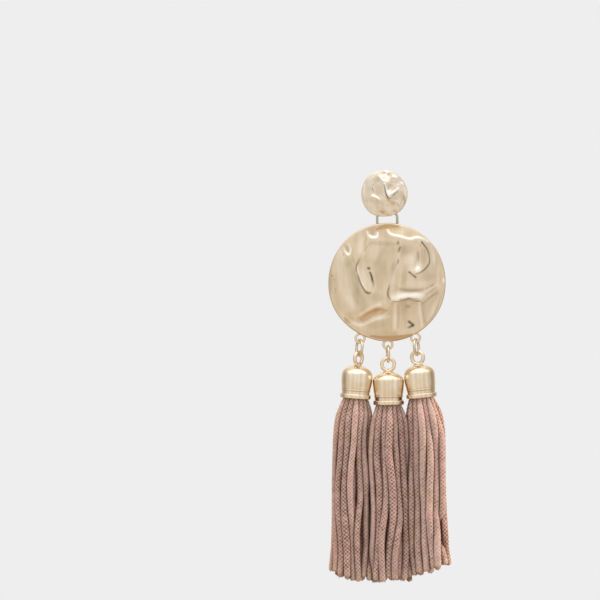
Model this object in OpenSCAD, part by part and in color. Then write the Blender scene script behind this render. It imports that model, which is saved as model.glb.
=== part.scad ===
// Drop earring: a hammered stud, a wire link, a large hammered disc and three knitted-cord tassels.
// Millimetres. The wearer's ear is behind, on +Y, and the hammered faces look along -Y.
// The origin is the middle of the stud's flat back, where the ear post leaves it.

/* [Stud] */
// Diameter of the small hammered stud, on average
stud_d = 12.4; // [11:0.1:15]
// Thickness of the stud at its rim
stud_rim_t = 0.9; // [0.8:0.05:1.3]
// How far the stud's domed face stands in front of its rim
stud_rise = 1.0; // [0.7:0.05:1.6]
// Depth that a full share in the stud's fold and dent tables stands for
stud_relief = 0.6; // [0.3:0.05:0.7]

/* [Ear post] */
// Diameter of the ear post
post_d = 0.8; // [0.7:0.05:1]
// Length of the ear post's straight pin, behind its pad
post_len = 10.5; // [9:0.5:12]
// Diameter of the pad that carries the post
pad_d = 4; // [3:0.1:5]
// Thickness of the pad
pad_t = 0.4; // [0.3:0.05:0.6]

/* [Link] */
// Diameter of the link's wire
link_wire = 0.65; // [0.5:0.05:0.8]
// Width of the link between the middles of its two side wires
link_w = 5.3; // [5.1:0.1:7]
// Bend radius of the link's corners at the middle of the wire
link_bend = 1.2; // [0.8:0.1:1.3]
// Gap that shows between the stud's rim and the disc's rim
stud_gap = 1.6; // [1.2:0.1:3]
// Distance from a rim to the axis of the lug behind it
lug_inset = 1.15; // [1.05:0.05:1.5]
// Length of a lug's tube
lug_len = 2.4; // [1.6:0.1:2.4]
// Wall of a lug's tube
lug_wall = 0.4; // [0.3:0.05:0.5]
// Running clearance between the wire and a lug's bore, on the radius
lug_clear = 0.08; // [0.05:0.01:0.1]
// How far the lugs are soldered to the right of the stud's middle
lug_shift = 0.7; // [0:0.05:1]

/* [Disc] */
// Diameter of the large hammered disc, on average
disc_d = 31.3; // [28:0.1:36]
// Thickness of the disc at its rim
disc_rim_t = 1.0; // [0.9:0.05:1.5]
// How far the disc's domed face stands in front of its rim
disc_rise = 1.5; // [1:0.1:2.5]
// How far the disc's back is hollowed in the middle
disc_hollow = 0.9; // [0.3:0.05:0.9]
// Depth that a full share in the disc's fold and dent tables stands for
disc_relief = 0.95; // [0.4:0.05:1.05]
// How far the disc hangs to the right of the stud's middle
drop_shift = 0.45; // [0:0.05:1]

/* [Loops and jump rings] */
// Inside diameter of the three loops under the disc
loop_hole = 1.7; // [1.6:0.05:2.2]
// Diameter of the loops' wire
loop_wire = 0.65; // [0.5:0.05:0.7]
// Angle from one loop to the next round the disc
loop_step = 26.4; // [25:0.1:30]
// Outside diameter of a jump ring
ring_d = 4.9; // [4.6:0.05:5.4]
// Diameter of a jump ring's wire
ring_wire = 0.75; // [0.6:0.05:0.8]
// Width of the cut where a jump ring was closed
ring_cut = 0.1; // [0.05:0.01:0.15]

/* [Caps] */
// Diameter of a tassel cap at its shoulder
cap_d = 8.3; // [7.8:0.02:9]
// Height of a cap from the top of its dome to its mouth
cap_h = 8.9; // [7.5:0.1:10]
// Height of the dome above the shoulder
cap_dome = 2.8; // [2.4:0.1:3.2]
// Diameter of the waist above the rim bead
cap_waist = 7.5; // [7:0.1:7.6]
// Diameter over the rim bead
bead_d = 8.3; // [7.8:0.05:8.4]
// Height of the rim bead
bead_h = 1.2; // [0.8:0.05:1.4]
// Wall of a cap at its waist
cap_wall = 0.55; // [0.45:0.05:0.8]
// Outside diameter of the eye on top of a cap
eye_d = 4.3; // [4.1:0.05:4.8]
// Diameter of the eye's wire
eye_wire = 1.0; // [0.8:0.05:1.1]
// How deep the eye is sunk into the dome
eye_sink = 0.35; // [0.05:0.05:0.4]
// Air kept between neighbouring caps
cap_gap = 0.1; // [0.08:0.02:0.4]

/* [Tassels] */
// Length of a tassel's cords below the mouth of its cap
tassel_len = 46.8; // [35:0.1:60]
// How much longer the left tassel's cords are
left_extra = 1.4; // [0:0.1:3]
// Width of a tassel where it is fullest
tassel_w = 10.2; // [9:0.1:11]
// Depth of a tassel from front to back where it is fullest
tassel_t = 9.2; // [8:0.1:11]
// Air kept between neighbouring tassels
tassel_gap = 0.1; // [0.1:0.05:0.5]
// Locks of cord round the outside of a tassel
locks = 15; // [11:1:15]
// How much higher the outermost locks end than the middle ones
hem_rise = 3.2; // [0:0.1:5]
// How unevenly the locks end
hem_uneven = 1.4; // [0:0.1:2]

/* [Hidden] */
$fn = 48;

// Air between two pieces that touch on the real earring
seat = 0.05;
// How deep a lug's tube is sunk into the solder behind a disc
lug_sink = 0.08;
// How deep the solder of a lug reaches into a disc
solder_depth = 0.2;
// Half width of a lug's solder, as a share of the tube's radius
solder_share = 0.7;
// Share of the thickness at a rim that is left as its upright edge
edge_share = 0.4;
// Share of the radius where a rim starts to round over
edge_start = 0.93;
// Share of the radius where the relief starts to fade towards the rim, and what is left of it there
fade_start = 0.84;
fade_left = 0.25;
// Share of the radius inside which the disc's back is hollowed, and where the hollow is full
hollow_start = 0.84;
hollow_full = 0.35;
// Rounding of a fold's crest, as a share of the radius
crest_round = 0.03;
// How much closer the rings of points lie towards a rim
ring_bias = 1.15;

// Folds of the disc's face: height share, width share to the left of the run,
// width share to its right, and the run's points as shares of the radius.
disc_folds = [
    [0.42, 0.20, 0.10, [[-0.40, 0.44], [-0.53, 0.26], [-0.50, 0.10], [-0.42, -0.08], [-0.30, -0.21]]],
    [-0.42, 0.07, 0.20, [[-0.31, 0.26], [-0.28, 0.12], [-0.24, -0.05]]],
    [0.50, 0.22, 0.16, [[0.20, 0.66], [0.20, 0.33], [0.09, 0.06], [0.00, -0.20], [0.05, -0.31]]],
    [0.46, 0.10, 0.13, [[0.05, -0.31], [0.23, -0.33], [0.37, -0.29], [0.53, -0.34], [0.72, -0.27]]],
    [-0.30, 0.13, 0.10, [[0.26, -0.15], [0.45, -0.16], [0.62, -0.14], [0.82, -0.05]]],
    [0.52, 0.13, 0.12, [[0.58, 0.70], [0.72, 0.48], [0.73, 0.32], [0.62, 0.18], [0.46, 0.11]]],
    [-0.45, 0.14, 0.10, [[0.53, 0.56], [0.55, 0.38], [0.47, 0.22]]],
    [0.36, 0.15, 0.10, [[0.02, 0.80], [0.22, 0.77], [0.42, 0.71], [0.60, 0.73]]],
    [0.42, 0.16, 0.08, [[-0.74, -0.56], [-0.42, -0.52], [-0.20, -0.42], [0.02, -0.40]]],
    [0.24, 0.12, 0.12, [[0.12, -0.38], [0.12, -0.84]]],
    [0.26, 0.12, 0.12, [[0.60, -0.36], [0.60, -0.80]]],
    [0.26, 0.14, 0.18, [[-0.72, 0.34], [-0.68, 0.00], [-0.50, -0.36]]]
];
// Dents of the disc's face: place, half length, half width, turn in degrees, depth share.
disc_dents = [
    [[-0.23, 0.86], 0.15, 0.12, 0, 0.45],
    [[-0.67, 0.55], 0.17, 0.10, 105, 0.40],
    [[-0.23, -0.60], 0.26, 0.10, 22, 0.60],
    [[-0.70, -0.68], 0.12, 0.09, 130, 0.40],
    [[0.39, -0.62], 0.24, 0.16, 75, 0.40],
    [[0.40, 0.50], 0.24, 0.14, 95, 0.30],
    [[-0.10, 0.25], 0.45, 0.20, 100, 0.35],
    [[0.82, -0.42], 0.26, 0.13, 60, 0.30],
    [[0.10, 0.96], 0.20, 0.07, 0, 0.45],
    [[-0.45, 0.80], 0.16, 0.12, 40, 0.22],
    [[0.12, -0.98], 0.36, 0.08, 0, 0.45],
    [[0.86, 0.15], 0.20, 0.10, 95, 0.25]
];
// Folds and dents of the stud's face, with the same columns.
stud_folds = [
    [0.80, 0.30, 0.14, [[-0.04, 0.46], [0.06, 0.05], [0.20, -0.22]]],
    [0.70, 0.14, 0.26, [[0.20, -0.22], [0.42, -0.02], [0.66, 0.12]]],
    [-0.40, 0.20, 0.16, [[-0.52, 0.38], [-0.55, 0.12], [-0.48, -0.06]]],
    [0.40, 0.20, 0.18, [[-0.56, -0.10], [-0.38, -0.20], [-0.20, -0.34]]],
    [0.35, 0.16, 0.16, [[-0.06, 0.74], [0.20, 0.56], [0.56, 0.60]]]
];
stud_dents = [
    [[0.24, 0.36], 0.26, 0.16, 60, 0.55],
    [[-0.22, 0.06], 0.34, 0.20, 95, 0.40],
    [[0.18, -0.58], 0.28, 0.20, 10, 0.50],
    [[-0.46, -0.52], 0.26, 0.18, 140, 0.40],
    [[0.70, -0.36], 0.26, 0.15, 60, 0.45],
    [[-0.80, 0.20], 0.34, 0.13, 85, 0.30],
    [[-0.20, -0.90], 0.22, 0.12, 0, 0.50],
    [[0.30, 0.86], 0.22, 0.14, 160, 0.45]
];

// Waves of the disc's outline and of the stud's: how many go round, height as a share of the radius,
// and the angle that they start from.
disc_waves = [[2, 0.004, -90], [3, 0.003, -126], [4, 0.002, 0], [5, 0.002, -167], [6, 0.002, -95]];
stud_waves = [[2, 0.004, -90], [3, 0.011, 151], [4, 0.008, -127], [5, 0.005, 45], [6, 0.005, 40]];

// From left to right, how far each jump ring is twisted from edge-on to the front,
// and how far each cap's eye is twisted from facing it.
ring_twists = [20, 4, -18];
eye_twists = [54, 0, -27];
// Outline of a cap from its shoulder to its rim bead: share of the way down,
// and share of the way from the waist's radius out to the shoulder's.
cap_turns = [
    [0.20, 0.97], [0.42, 0.82], [0.62, 0.52], [0.74, 0.24],
    [0.77, 0.46], [0.82, 0.46], [0.85, 0.10], [0.93, 0.00]
];
// Neck under a cap's eye: radius at the dome, radius at the eye and reach over the eye's lowest point,
// as shares of the eye's wire.
neck_shares = [1.2, 0.8, 0.6];

// Width and depth of a tassel down its length: share of the length below the mouth,
// share of the fullest width and depth, and share of the way out to where it hangs.
tassel_sections = [
    [0.010, 0.74, 0.02], [0.035, 0.81, 0.10], [0.080, 0.875, 0.34], [0.130, 0.92, 0.58],
    [0.190, 0.955, 0.80], [0.280, 0.98, 0.96], [0.40, 1.00, 1.00], [0.55, 0.99, 1.02],
    [0.70, 0.99, 1.05], [0.84, 1.00, 1.12], [1.00, 1.05, 1.42]
];
// Depth of the furrows between locks at the mouth and at the ends, as shares of the radius
furrow_top = 0.10;
furrow_end = 0.30;
// Points round each lock
lock_points = 4;
// How far a lock may wander sideways and inwards by its end, as shares of its own width and of the radius
lock_sway = 0.5;
lock_sink = 0.05;
// Share of the length below the mouth where a tassel has left the lean of its cap
lean_end = 0.15;
// How much smaller than the hem the hollow of a tassel's underside is, and how far it reaches up
hem_share = 0.55;
hem_hollow = 1.6;

bore_r = link_wire / 2 + lug_clear;
lug_r = bore_r + lug_wall;
link_y = lug_r - lug_sink;
stud_r = stud_d / 2;
disc_r = disc_d / 2;
top_run_z = lug_inset - stud_r;
disc_z = -(stud_r + stud_gap + disc_r);
low_run_z = disc_z + disc_r - lug_inset;
link_h = top_run_z - low_run_z;

loop_r = (loop_hole + loop_wire) / 2;
ring_r = (ring_d - ring_wire) / 2;
eye_r = (eye_d - eye_wire) / 2;
// The loops' holes begin just under the disc's rim, and their wire is soldered into the rim's edge
loop_reach = disc_r + loop_hole / 2;
loop_y = -disc_rim_t * edge_share / 2;
loop_x = loop_reach * sin(loop_step);
// From a loop's middle down to the middles of the jump ring and the eye, the top of the dome and the mouth
ring_drop = ring_r + loop_hole / 2 - ring_wire / 2 - seat;
eye_drop = ring_drop + ring_r - ring_wire / 2 - eye_wire - seat + eye_d / 2;
dome_drop = eye_drop + eye_d / 2 - eye_sink;
mouth_drop = dome_drop + cap_h;
// The shoulders of three caps in a row push the outer two aside, which hang from higher loops
loop_rise = loop_reach * (1 - cos(loop_step));
splay = atan(max(0, cap_d + cap_gap - loop_x) / (dome_drop + cap_dome + loop_rise));
hang_x = tassel_w + tassel_gap;
cap_r = cap_d / 2;
waist_r = cap_waist / 2;
mouth_r = waist_r - cap_wall;
head_r = mouth_r - 2 * seat;
// How far the head of a tassel reaches up into its cap
head_up = cap_h - cap_dome - 2 * seat;

function clamp01(t) = min(1, max(0, t));
function smooth(a, b, t) = let (s = clamp01((t - a) / (b - a))) s * s * (3 - 2 * s);
function sum(list) = [for (x = list) 1] * list;
function flat_turn(v, a) = [v[0] * cos(a) + v[1] * sin(a), v[1] * cos(a) - v[0] * sin(a)];
function lean(v, a) = [v[0] * cos(a) + v[2] * sin(a), v[1], v[2] * cos(a) - v[0] * sin(a)];

// Distance from p to the stretch from a to b, positive on its left
function signed_gap(p, a, b) =
    let (along = b - a,
         off = p - a - clamp01((p - a) * along / (along * along)) * along,
         side = along[0] * (p - a)[1] - along[1] * (p - a)[0])
    (side < 0 ? -1 : 1) * norm(off);
function nearest(gaps) = let (low = min([for (g = gaps) abs(g)])) [for (g = gaps) if (abs(g) == low) g][0];
function fold_height(p, fold) =
    let (run = fold[3],
         gap = nearest([for (i = [0 : len(run) - 2]) signed_gap(p, run[i], run[i + 1])]),
         away = sqrt(gap * gap + crest_round * crest_round) - crest_round)
    fold[0] * exp(-away / (gap > 0 ? fold[1] : fold[2]));
function dent_height(p, dent) =
    let (q = flat_turn(p - dent[0], dent[3]))
    -dent[4] * exp(-pow(q[0] / dent[1], 2) - pow(q[1] / dent[2], 2));
function relief(p, folds, dents) =
    sum([for (f = folds) fold_height(p, f)]) + sum([for (d = dents) dent_height(p, d)]);

// Height of a hammered face over its flat back, at a share rho of the radius and an angle
function face_height(rho, angle, rim_t, rise, depth, folds, dents) =
    let (p = rho * [cos(angle), sin(angle)],
         over = max(0, rho - edge_start) / (1 - edge_start),
         edge = edge_share + (1 - edge_share) * sqrt(max(0, 1 - over * over)),
         fade = 1 - (1 - fade_left) * smooth(fade_start, 1, rho))
    rim_t * edge + rise * (1 - rho * rho) + depth * fade * relief(p, folds, dents);
function back_height(rho, hollow) = hollow * (1 - smooth(hollow_full, hollow_start, rho));
// The outline bulges and flattens a little
function outline(angle, waves) = 1 + sum([for (w = waves) w[1] * sin(w[0] * angle + w[2])]);

// One closed ring of points, rho of the radius out, at the heights given for its angles
function ring_points(r, rho, heights, waves) =
    [for (j = [0 : len(heights) - 1])
        let (a = 360 * j / len(heights), out = r * rho * (1 + rho * (outline(a, waves) - 1)))
        [out * cos(a), -heights[j], out * sin(a)]];
function band(i, n) =
    [for (j = [0 : n - 1]) let (k = (j + 1) % n, a = i * n, b = a + n)
        each [[a + j, b + k, b + j], [a + j, a + k, b + k]]];
// Faces of a closed skin of rings with n points each, whose two tips follow as the last two points
function skin(rings, n) = concat(
    [for (i = [0 : rings - 2]) each band(i, n)],
    [for (j = [0 : n - 1]) [rings * n, (j + 1) % n, j]],
    [for (j = [0 : n - 1]) [rings * n + 1, (rings - 1) * n + j, (rings - 1) * n + (j + 1) % n]]
);

// A hammered disc: front rings from the middle out, then the flat or hollowed back from the rim in
module hammered(r, rim_t, rise, depth, folds, dents, waves, hollow, rings, sectors) {
    fronts = [for (i = [1 : rings]) 1 - pow(1 - i / rings, ring_bias)];
    backs = hollow > 0 ? [1, hollow_start, 0.6, hollow_full] : [1];
    angles = [for (j = [0 : sectors - 1]) 360 * j / sectors];
    points = [
        for (rho = fronts)
            each ring_points(
                r, rho, [for (a = angles) face_height(rho, a, rim_t, rise, depth, folds, dents)], waves),
        for (rho = backs) each ring_points(r, rho, [for (a = angles) back_height(rho, hollow)], waves),
        [0, -face_height(0, 0, rim_t, rise, depth, folds, dents), 0],
        [0, -back_height(0, hollow), 0]
    ];
    polyhedron(points = points, faces = skin(len(fronts) + len(backs), sectors), convexity = 6);
}

// A short tube along X behind a disc, and the solder that holds it
module lug() translate([lug_shift, link_y, 0]) difference() {
    union() {
        rotate([0, 90, 0]) cylinder(r = lug_r, h = lug_len, center = true);
        translate([-lug_len / 2, -link_y - solder_depth, -lug_r * solder_share])
            cube([lug_len, link_y + solder_depth, 2 * lug_r * solder_share]);
    }
    rotate([0, 90, 0]) cylinder(r = bore_r, h = lug_len + 1, center = true);
}

// A ring of round wire in the XY plane, with its cut, if it has one, on +X
module wire_ring(middle_r, wire, cut = 0) {
    gap = 180 * cut / (PI * middle_r);
    rotate([0, 0, gap / 2]) rotate_extrude(angle = 360 - gap) translate([middle_r, 0]) circle(d = wire);
}

module stud_disc() color("#e3cfa8") {
    hammered(stud_r, stud_rim_t, stud_rise, stud_relief, stud_folds, stud_dents, stud_waves, 0, 12, 48);
    translate([0, 0, top_run_z]) lug();
}

// A glued pad with the straight post on it, its tip rounded
module ear_post() color("#e3cfa8") translate([0, seat, 0]) rotate([-90, 0, 0]) {
    cylinder(d = pad_d, h = pad_t);
    cylinder(d = post_d, h = pad_t + post_len);
    translate([0, 0, pad_t + post_len]) intersection() {
        sphere(d = post_d);
        translate([-post_d, -post_d, -post_d / 8]) cube([2 * post_d, 2 * post_d, post_d]);
    }
}

// A rounded rectangle of wire, its two level runs in the lugs
module hinge_link() color("#e3cfa8") translate([lug_shift, link_y, (top_run_z + low_run_z) / 2]) {
    half_w = link_w / 2 - link_bend;
    half_h = link_h / 2 - link_bend;
    for (side = [-1, 1]) {
        translate([0, 0, side * link_h / 2]) rotate([0, 90, 0])
            cylinder(d = link_wire, h = 2 * half_w, center = true);
        translate([side * link_w / 2, 0, 0]) cylinder(d = link_wire, h = 2 * half_h, center = true);
    }
    for (turn = [0 : 90 : 270]) {
        across = turn % 180 == 0;
        rotate([0, turn, 0]) translate([across ? half_w : half_h, 0, across ? half_h : half_w])
            rotate([90, 0, 0]) rotate_extrude(angle = 90) translate([link_bend, 0]) circle(d = link_wire);
    }
}

module main_disc() color("#e3cfa8") {
    translate([drop_shift, 0, disc_z])
        hammered(
            disc_r, disc_rim_t, disc_rise, disc_relief,
            disc_folds, disc_dents, disc_waves, disc_hollow, 26, 84);
    translate([0, 0, low_run_z]) lug();
    for (side = [-1, 0, 1])
        translate([drop_shift, loop_y, disc_z]) rotate([0, -side * loop_step, 0])
            translate([0, 0, -loop_reach]) rotate([90, 0, 0]) wire_ring(loop_r, loop_wire);
}

// Middle of a loop, from which one tassel's chain hangs
function loop_place(side) = [drop_shift + side * loop_x, loop_y, disc_z - loop_reach * cos(side * loop_step)];

// Hangs a piece below its loop, leaning outwards with its cap
module hung(side, drop)
    translate(loop_place(side)) rotate([0, -side * splay, 0]) translate([0, 0, -drop]) children();

module jump_ring(side) color("#e3cfa8") hung(side, ring_drop)
    rotate([0, 0, ring_twists[side + 1]]) rotate([0, 90, 0]) rotate([0, 0, 90])
        wire_ring(ring_r, ring_wire, ring_cut);

// Outlines of a cap from its middle to its mouth and back, heights counted down from the top of the dome
function cap_outer() = concat(
    [for (a = [0 : 10 : 90]) [cap_r * sin(a), -cap_dome * (1 - cos(a))]],
    [for (row = cap_turns)
        [waist_r + (cap_r - waist_r) * row[1], -cap_dome - (cap_h - bead_h - cap_dome) * row[0]]],
    [for (a = [90 : -20 : -90])
        [waist_r + (bead_d / 2 - waist_r) * max(0, cos(a)), -cap_h + bead_h / 2 * (1 + sin(a))]]
);
function cap_inner() = concat(
    [[mouth_r, -cap_h]],
    [for (a = [90 : -15 : 0]) [mouth_r * sin(a), -cap_dome + (cap_dome - cap_wall) * cos(a)]]
);

module tassel_cap(side) color("#e3c68f") hung(side, dome_drop) {
    translate([0, 0, dome_drop - eye_drop]) rotate([0, 0, eye_twists[side + 1]]) rotate([90, 0, 0])
        wire_ring(eye_r, eye_wire);
    rotate_extrude() polygon(concat(cap_outer(), cap_inner()));
    translate([0, 0, -cap_wall])
        cylinder(
            r1 = eye_wire * neck_shares[0], r2 = eye_wire * neck_shares[1],
            h = cap_wall + eye_wire * neck_shares[2] - eye_sink);
}

// One tassel as a closed skin of lobed sections, its locks fused to a head inside the cap
module tassel(side, len, seed) color("#b08f82") {
    around = locks * lock_points;
    jitter = rands(-1, 1, 3 * locks, seed);
    tilt = -side * splay;
    mouth = loop_place(side) + lean([0, 0, -mouth_drop], tilt);
    hang_at = drop_shift + side * hang_x;
    // Each row: middle of the section, half width, half depth, furrow depth, lean, share of the length
    head = [for (up = [head_up, -seat])
        [mouth + lean([0, 0, up], tilt), head_r, head_r, furrow_top, tilt, 0]];
    body = [for (s = tassel_sections)
        [[mouth[0] + (hang_at - mouth[0]) * s[2], loop_y, mouth[2] - len * s[0]],
         tassel_w / 2 * s[1], tassel_t / 2 * s[1],
         furrow_top + (furrow_end - furrow_top) * s[0], tilt * (1 - smooth(0, lean_end, s[0])), s[0]]];
    rows = concat(head, body);
    last = rows[len(rows) - 1];
    points = [
        for (row = rows) for (j = [0 : around - 1])
            let (t = j / around, lock = floor(t * locks + 0.01), s = row[5],
                 sway = lock_sway / locks * s * jitter[lock] * sin(360 * s + 90 * jitter[lock + locks]),
                 a = 360 * (t + sway),
                 furrow = row[3] * pow(1 - abs(sin(180 * t * locks)), 2),
                 out = (1 - furrow) * (1 - lock_sink * s * (1 + jitter[lock])),
                 shorter = s * s * (hem_rise * pow(max(0, side * cos(a)), 2)
                     + hem_uneven / 2 * (1 + jitter[lock + 2 * locks])))
            row[0] + lean([row[1] * out * cos(a), row[2] * out * sin(a), shorter], row[4]),
        for (j = [0 : around - 1]) let (a = 360 * j / around)
            last[0] + [last[1] * hem_share * cos(a), last[2] * hem_share * sin(a), hem_hollow],
        rows[0][0],
        last[0] + [0, 0, hem_hollow]
    ];
    polyhedron(points = points, faces = skin(len(rows) + 1, around), convexity = 8);
}

stud_disc();
ear_post();
hinge_link();
main_disc();
jump_ring(-1);  // jump_ring_left
jump_ring(0);  // jump_ring_centre
jump_ring(1);  // jump_ring_right
tassel_cap(-1);  // tassel_cap_left
tassel_cap(0);  // tassel_cap_centre
tassel_cap(1);  // tassel_cap_right
tassel(-1, tassel_len + left_extra, 11);  // tassel_left
tassel(0, tassel_len, 23);  // tassel_centre
tassel(1, tassel_len, 37);  // tassel_right
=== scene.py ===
import math

import bpy
import numpy as np
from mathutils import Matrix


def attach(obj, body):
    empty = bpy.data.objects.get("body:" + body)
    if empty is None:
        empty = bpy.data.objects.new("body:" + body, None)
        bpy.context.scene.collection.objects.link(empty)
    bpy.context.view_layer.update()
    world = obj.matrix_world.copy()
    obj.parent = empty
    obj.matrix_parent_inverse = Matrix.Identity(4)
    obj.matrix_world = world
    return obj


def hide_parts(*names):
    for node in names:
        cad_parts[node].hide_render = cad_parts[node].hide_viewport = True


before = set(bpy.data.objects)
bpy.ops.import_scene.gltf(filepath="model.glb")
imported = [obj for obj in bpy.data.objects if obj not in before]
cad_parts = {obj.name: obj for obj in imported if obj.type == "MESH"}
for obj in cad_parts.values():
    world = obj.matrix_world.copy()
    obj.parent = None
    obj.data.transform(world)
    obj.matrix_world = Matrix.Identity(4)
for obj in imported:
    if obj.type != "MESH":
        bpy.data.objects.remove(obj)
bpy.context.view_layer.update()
mm = 0.001
print("stage: frame loaded")


# Colours are typed as sRGB hex and turned to the linear values that the shaders take
def linearColour(hexValue):
    channels = [int(hexValue[i:i + 2], 16) / 255 for i in (1, 3, 5)]
    return tuple(c / 12.92 if c <= 0.04045 else ((c + 0.055) / 1.055) ** 2.4 for c in channels) + (1.0,)


# Adds one node: its settings by name, then its inputs, each a value, another node's output, or another node,
# which stands for its first output.
# A noise node's Scale is in cells to the metre, so it is 1000 over the size of a cell in millimetres.
def addNode(tree, kind, settings=None, inputs=None):
    made = tree.nodes.new("ShaderNode" + kind)
    for key, value in (settings or {}).items():
        setattr(made, key, value)
    for key, value in (inputs or {}).items():
        if isinstance(value, bpy.types.Node):
            value = value.outputs[0]
        if isinstance(value, bpy.types.NodeSocket):
            tree.links.new(value, made.inputs[key])
        else:
            made.inputs[key].default_value = value
    return made


# Fills a ramp node from rows of place and hex colour
def fillRamp(ramp, stops, smooth=True):
    ramp.color_ramp.interpolation = "EASE" if smooth else "LINEAR"
    while len(ramp.color_ramp.elements) < len(stops):
        ramp.color_ramp.elements.new(0.5)
    for element, (place, hexValue) in zip(ramp.color_ramp.elements, stops):
        element.position = place
        element.color = linearColour(hexValue)


# Starts a material: the values that are the same all over it are set on its shader
def newMaterial(name, values):
    material = bpy.data.materials.new(name)
    material.use_nodes = True
    shader = material.node_tree.nodes["Principled BSDF"]
    for key, value in values.items():
        shader.inputs[key].default_value = value
    return material, material.node_tree, shader


# Quads between neighbouring rows of a grid of points, the last column joined to the first.
# They face outwards when the columns turn anticlockwise round the way that the rows go.
def gridQuads(rows, columns):
    i, j = np.meshgrid(np.arange(rows - 1), np.arange(columns), indexing="ij")
    k = (j + 1) % columns
    corners = [i * columns + j, i * columns + k, (i + 1) * columns + k, (i + 1) * columns + j]
    return np.stack(corners, -1).reshape(-1, 4)


# Corner coordinates for those quads: turns round the grid, and each row's own value along it
def gridUv(rowValues, columns):
    i, j = np.meshgrid(np.arange(len(rowValues) - 1), np.arange(columns), indexing="ij")
    across = np.stack([j, j + 1, j + 1, j], -1) / columns
    along = np.stack([rowValues[i], rowValues[i], rowValues[i + 1], rowValues[i + 1]], -1)
    return np.stack([across, along], -1).reshape(-1, 2)


# Triangles that close the first and the last ring of a grid, each round its own middle. The two middles are
# the points that follow the grid's last one.
def endFans(columns, count):
    j = np.arange(columns)
    k = (j + 1) % columns
    first = [k, j, np.full(columns, count)]
    last = [count - columns + j, count - columns + k, np.full(columns, count + 1)]
    return np.vstack([np.stack(first, -1), np.stack(last, -1)])


# A closed tube round a path: each point is the path's, plus its radius times the cosine of its angle across
# the path and the sine over it. Both ends are filled, or a loop's last row meets its first. reference is a
# direction that the path never follows, and turn twists the rows, in radians.
def sweepTube(path, radii, sides, reference, loop=False, turn=0.0):
    path = np.asarray(path, float)
    tangents = np.roll(path, -1, 0) - np.roll(path, 1, 0) if loop else np.gradient(path, axis=0)
    tangents /= np.linalg.norm(tangents, axis=1, keepdims=True)
    across = np.cross(np.asarray(reference, float), tangents)
    across /= np.linalg.norm(across, axis=1, keepdims=True)
    over = np.cross(tangents, across)
    angles = 2 * np.pi * np.arange(sides) / sides + np.broadcast_to(turn, len(path))[:, None]
    radii = np.broadcast_to(np.asarray(radii, float).reshape(len(path), -1), (len(path), sides))
    points = path[:, None] + radii[..., None] * (
        np.cos(angles)[..., None] * across[:, None] + np.sin(angles)[..., None] * over[:, None])
    points = points.reshape(-1, 3)
    if loop:
        quads = gridQuads(len(path) + 1, sides) % len(points)
        return {"points": points, "quads": quads, "triangles": np.zeros((0, 3), int)}
    return {"points": np.vstack([points, path[:1], path[-1:]]), "quads": gridQuads(len(path), sides),
            "triangles": endFans(sides, len(points))}


# A surface of revolution about Z from rows of radius and height, with a point at each end: x and y are the
# radius times the cosine and the sine of the angle
def revolve(profile, sides):
    profile = np.asarray(profile, float)
    angles = 2 * np.pi * np.arange(sides) / sides
    inner = profile[1:-1]
    points = np.stack([
        inner[:, :1] * np.cos(angles), inner[:, :1] * np.sin(angles), np.repeat(inner[:, 1:], sides, 1)], -1)
    points = points.reshape(-1, 3)
    return {"points": np.vstack([points, [0, 0, profile[0, 1]], [0, 0, profile[-1, 1]]]),
            "quads": gridQuads(len(inner), sides), "triangles": endFans(sides, len(points))}


# Shares kept at each point for the materials: how light it is, with painted reflections and highlights on the
# metal; how creased or loosened; how much painted warm light it takes; and how much painted shade between the cords
shares = ("tone", "crease", "paintedWarmLight", "deep")


# Joins shapes into one: their points, faces, corner coordinates and per-point shares
def joinShapes(shapes):
    starts = np.cumsum([0] + [len(s["points"]) for s in shapes[:-1]])
    joined = {
        "points": np.vstack([s["points"] for s in shapes]),
        "quads": np.vstack([s["quads"] + start for s, start in zip(shapes, starts)]),
        "triangles": np.vstack([s["triangles"] + start for s, start in zip(shapes, starts)]),
    }
    for key in shares:
        joined[key] = np.concatenate([np.broadcast_to(s.get(key, 0.0), len(s["points"])) for s in shapes])
    quadUv = [s.get("quadUv", np.zeros((4 * len(s["quads"]), 2))) for s in shapes]
    triangleUv = [np.zeros((3 * len(s["triangles"]), 2)) for s in shapes]
    joined["uv"] = np.vstack(quadUv + triangleUv)
    return joined


# Turns points about an axis through the origin, in degrees by the right-hand rule
def turned(points, axis, degrees):
    c, s = math.cos(math.radians(degrees)), math.sin(math.radians(degrees))
    i, j = {"x": (1, 2), "y": (2, 0), "z": (0, 1)}[axis]
    points = np.array(points, float)
    a, b = points[..., i].copy(), points[..., j].copy()
    points[..., i], points[..., j] = a * c - b * s, a * s + b * c
    return points


# The shape with its points changed by a function
def movedShape(shape, change):
    return {**shape, "points": change(shape["points"])}


# Puts a joined shape, in millimetres, into the scene as one piece that stands for its CAD node
def makePiece(name, shape, body, node, material, sharpAngle=40):
    mesh = bpy.data.meshes.new(name)
    faces = shape["quads"].tolist() + shape["triangles"].tolist()
    mesh.from_pydata((shape["points"] * mm).tolist(), [], faces)
    mesh.uv_layers.new(name="UVMap").data.foreach_set("uv", shape["uv"].astype(np.float32).ravel())
    for key in shares:
        mesh.attributes.new(key, "FLOAT", "POINT").data.foreach_set("value", shape[key].astype(np.float32))
    mesh.polygons.foreach_set("use_smooth", np.ones(len(faces), bool))
    mesh.set_sharp_from_angle(angle=math.radians(sharpAngle))
    mesh.update()
    mesh.validate()
    piece = bpy.data.objects.new(name, mesh)
    bpy.context.scene.collection.objects.link(piece)
    mesh.materials.append(material)
    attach(piece, body)
    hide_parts(node)
    print("stage:", name, len(shape["quads"]) * 2 + len(shape["triangles"]), "triangles")


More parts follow.
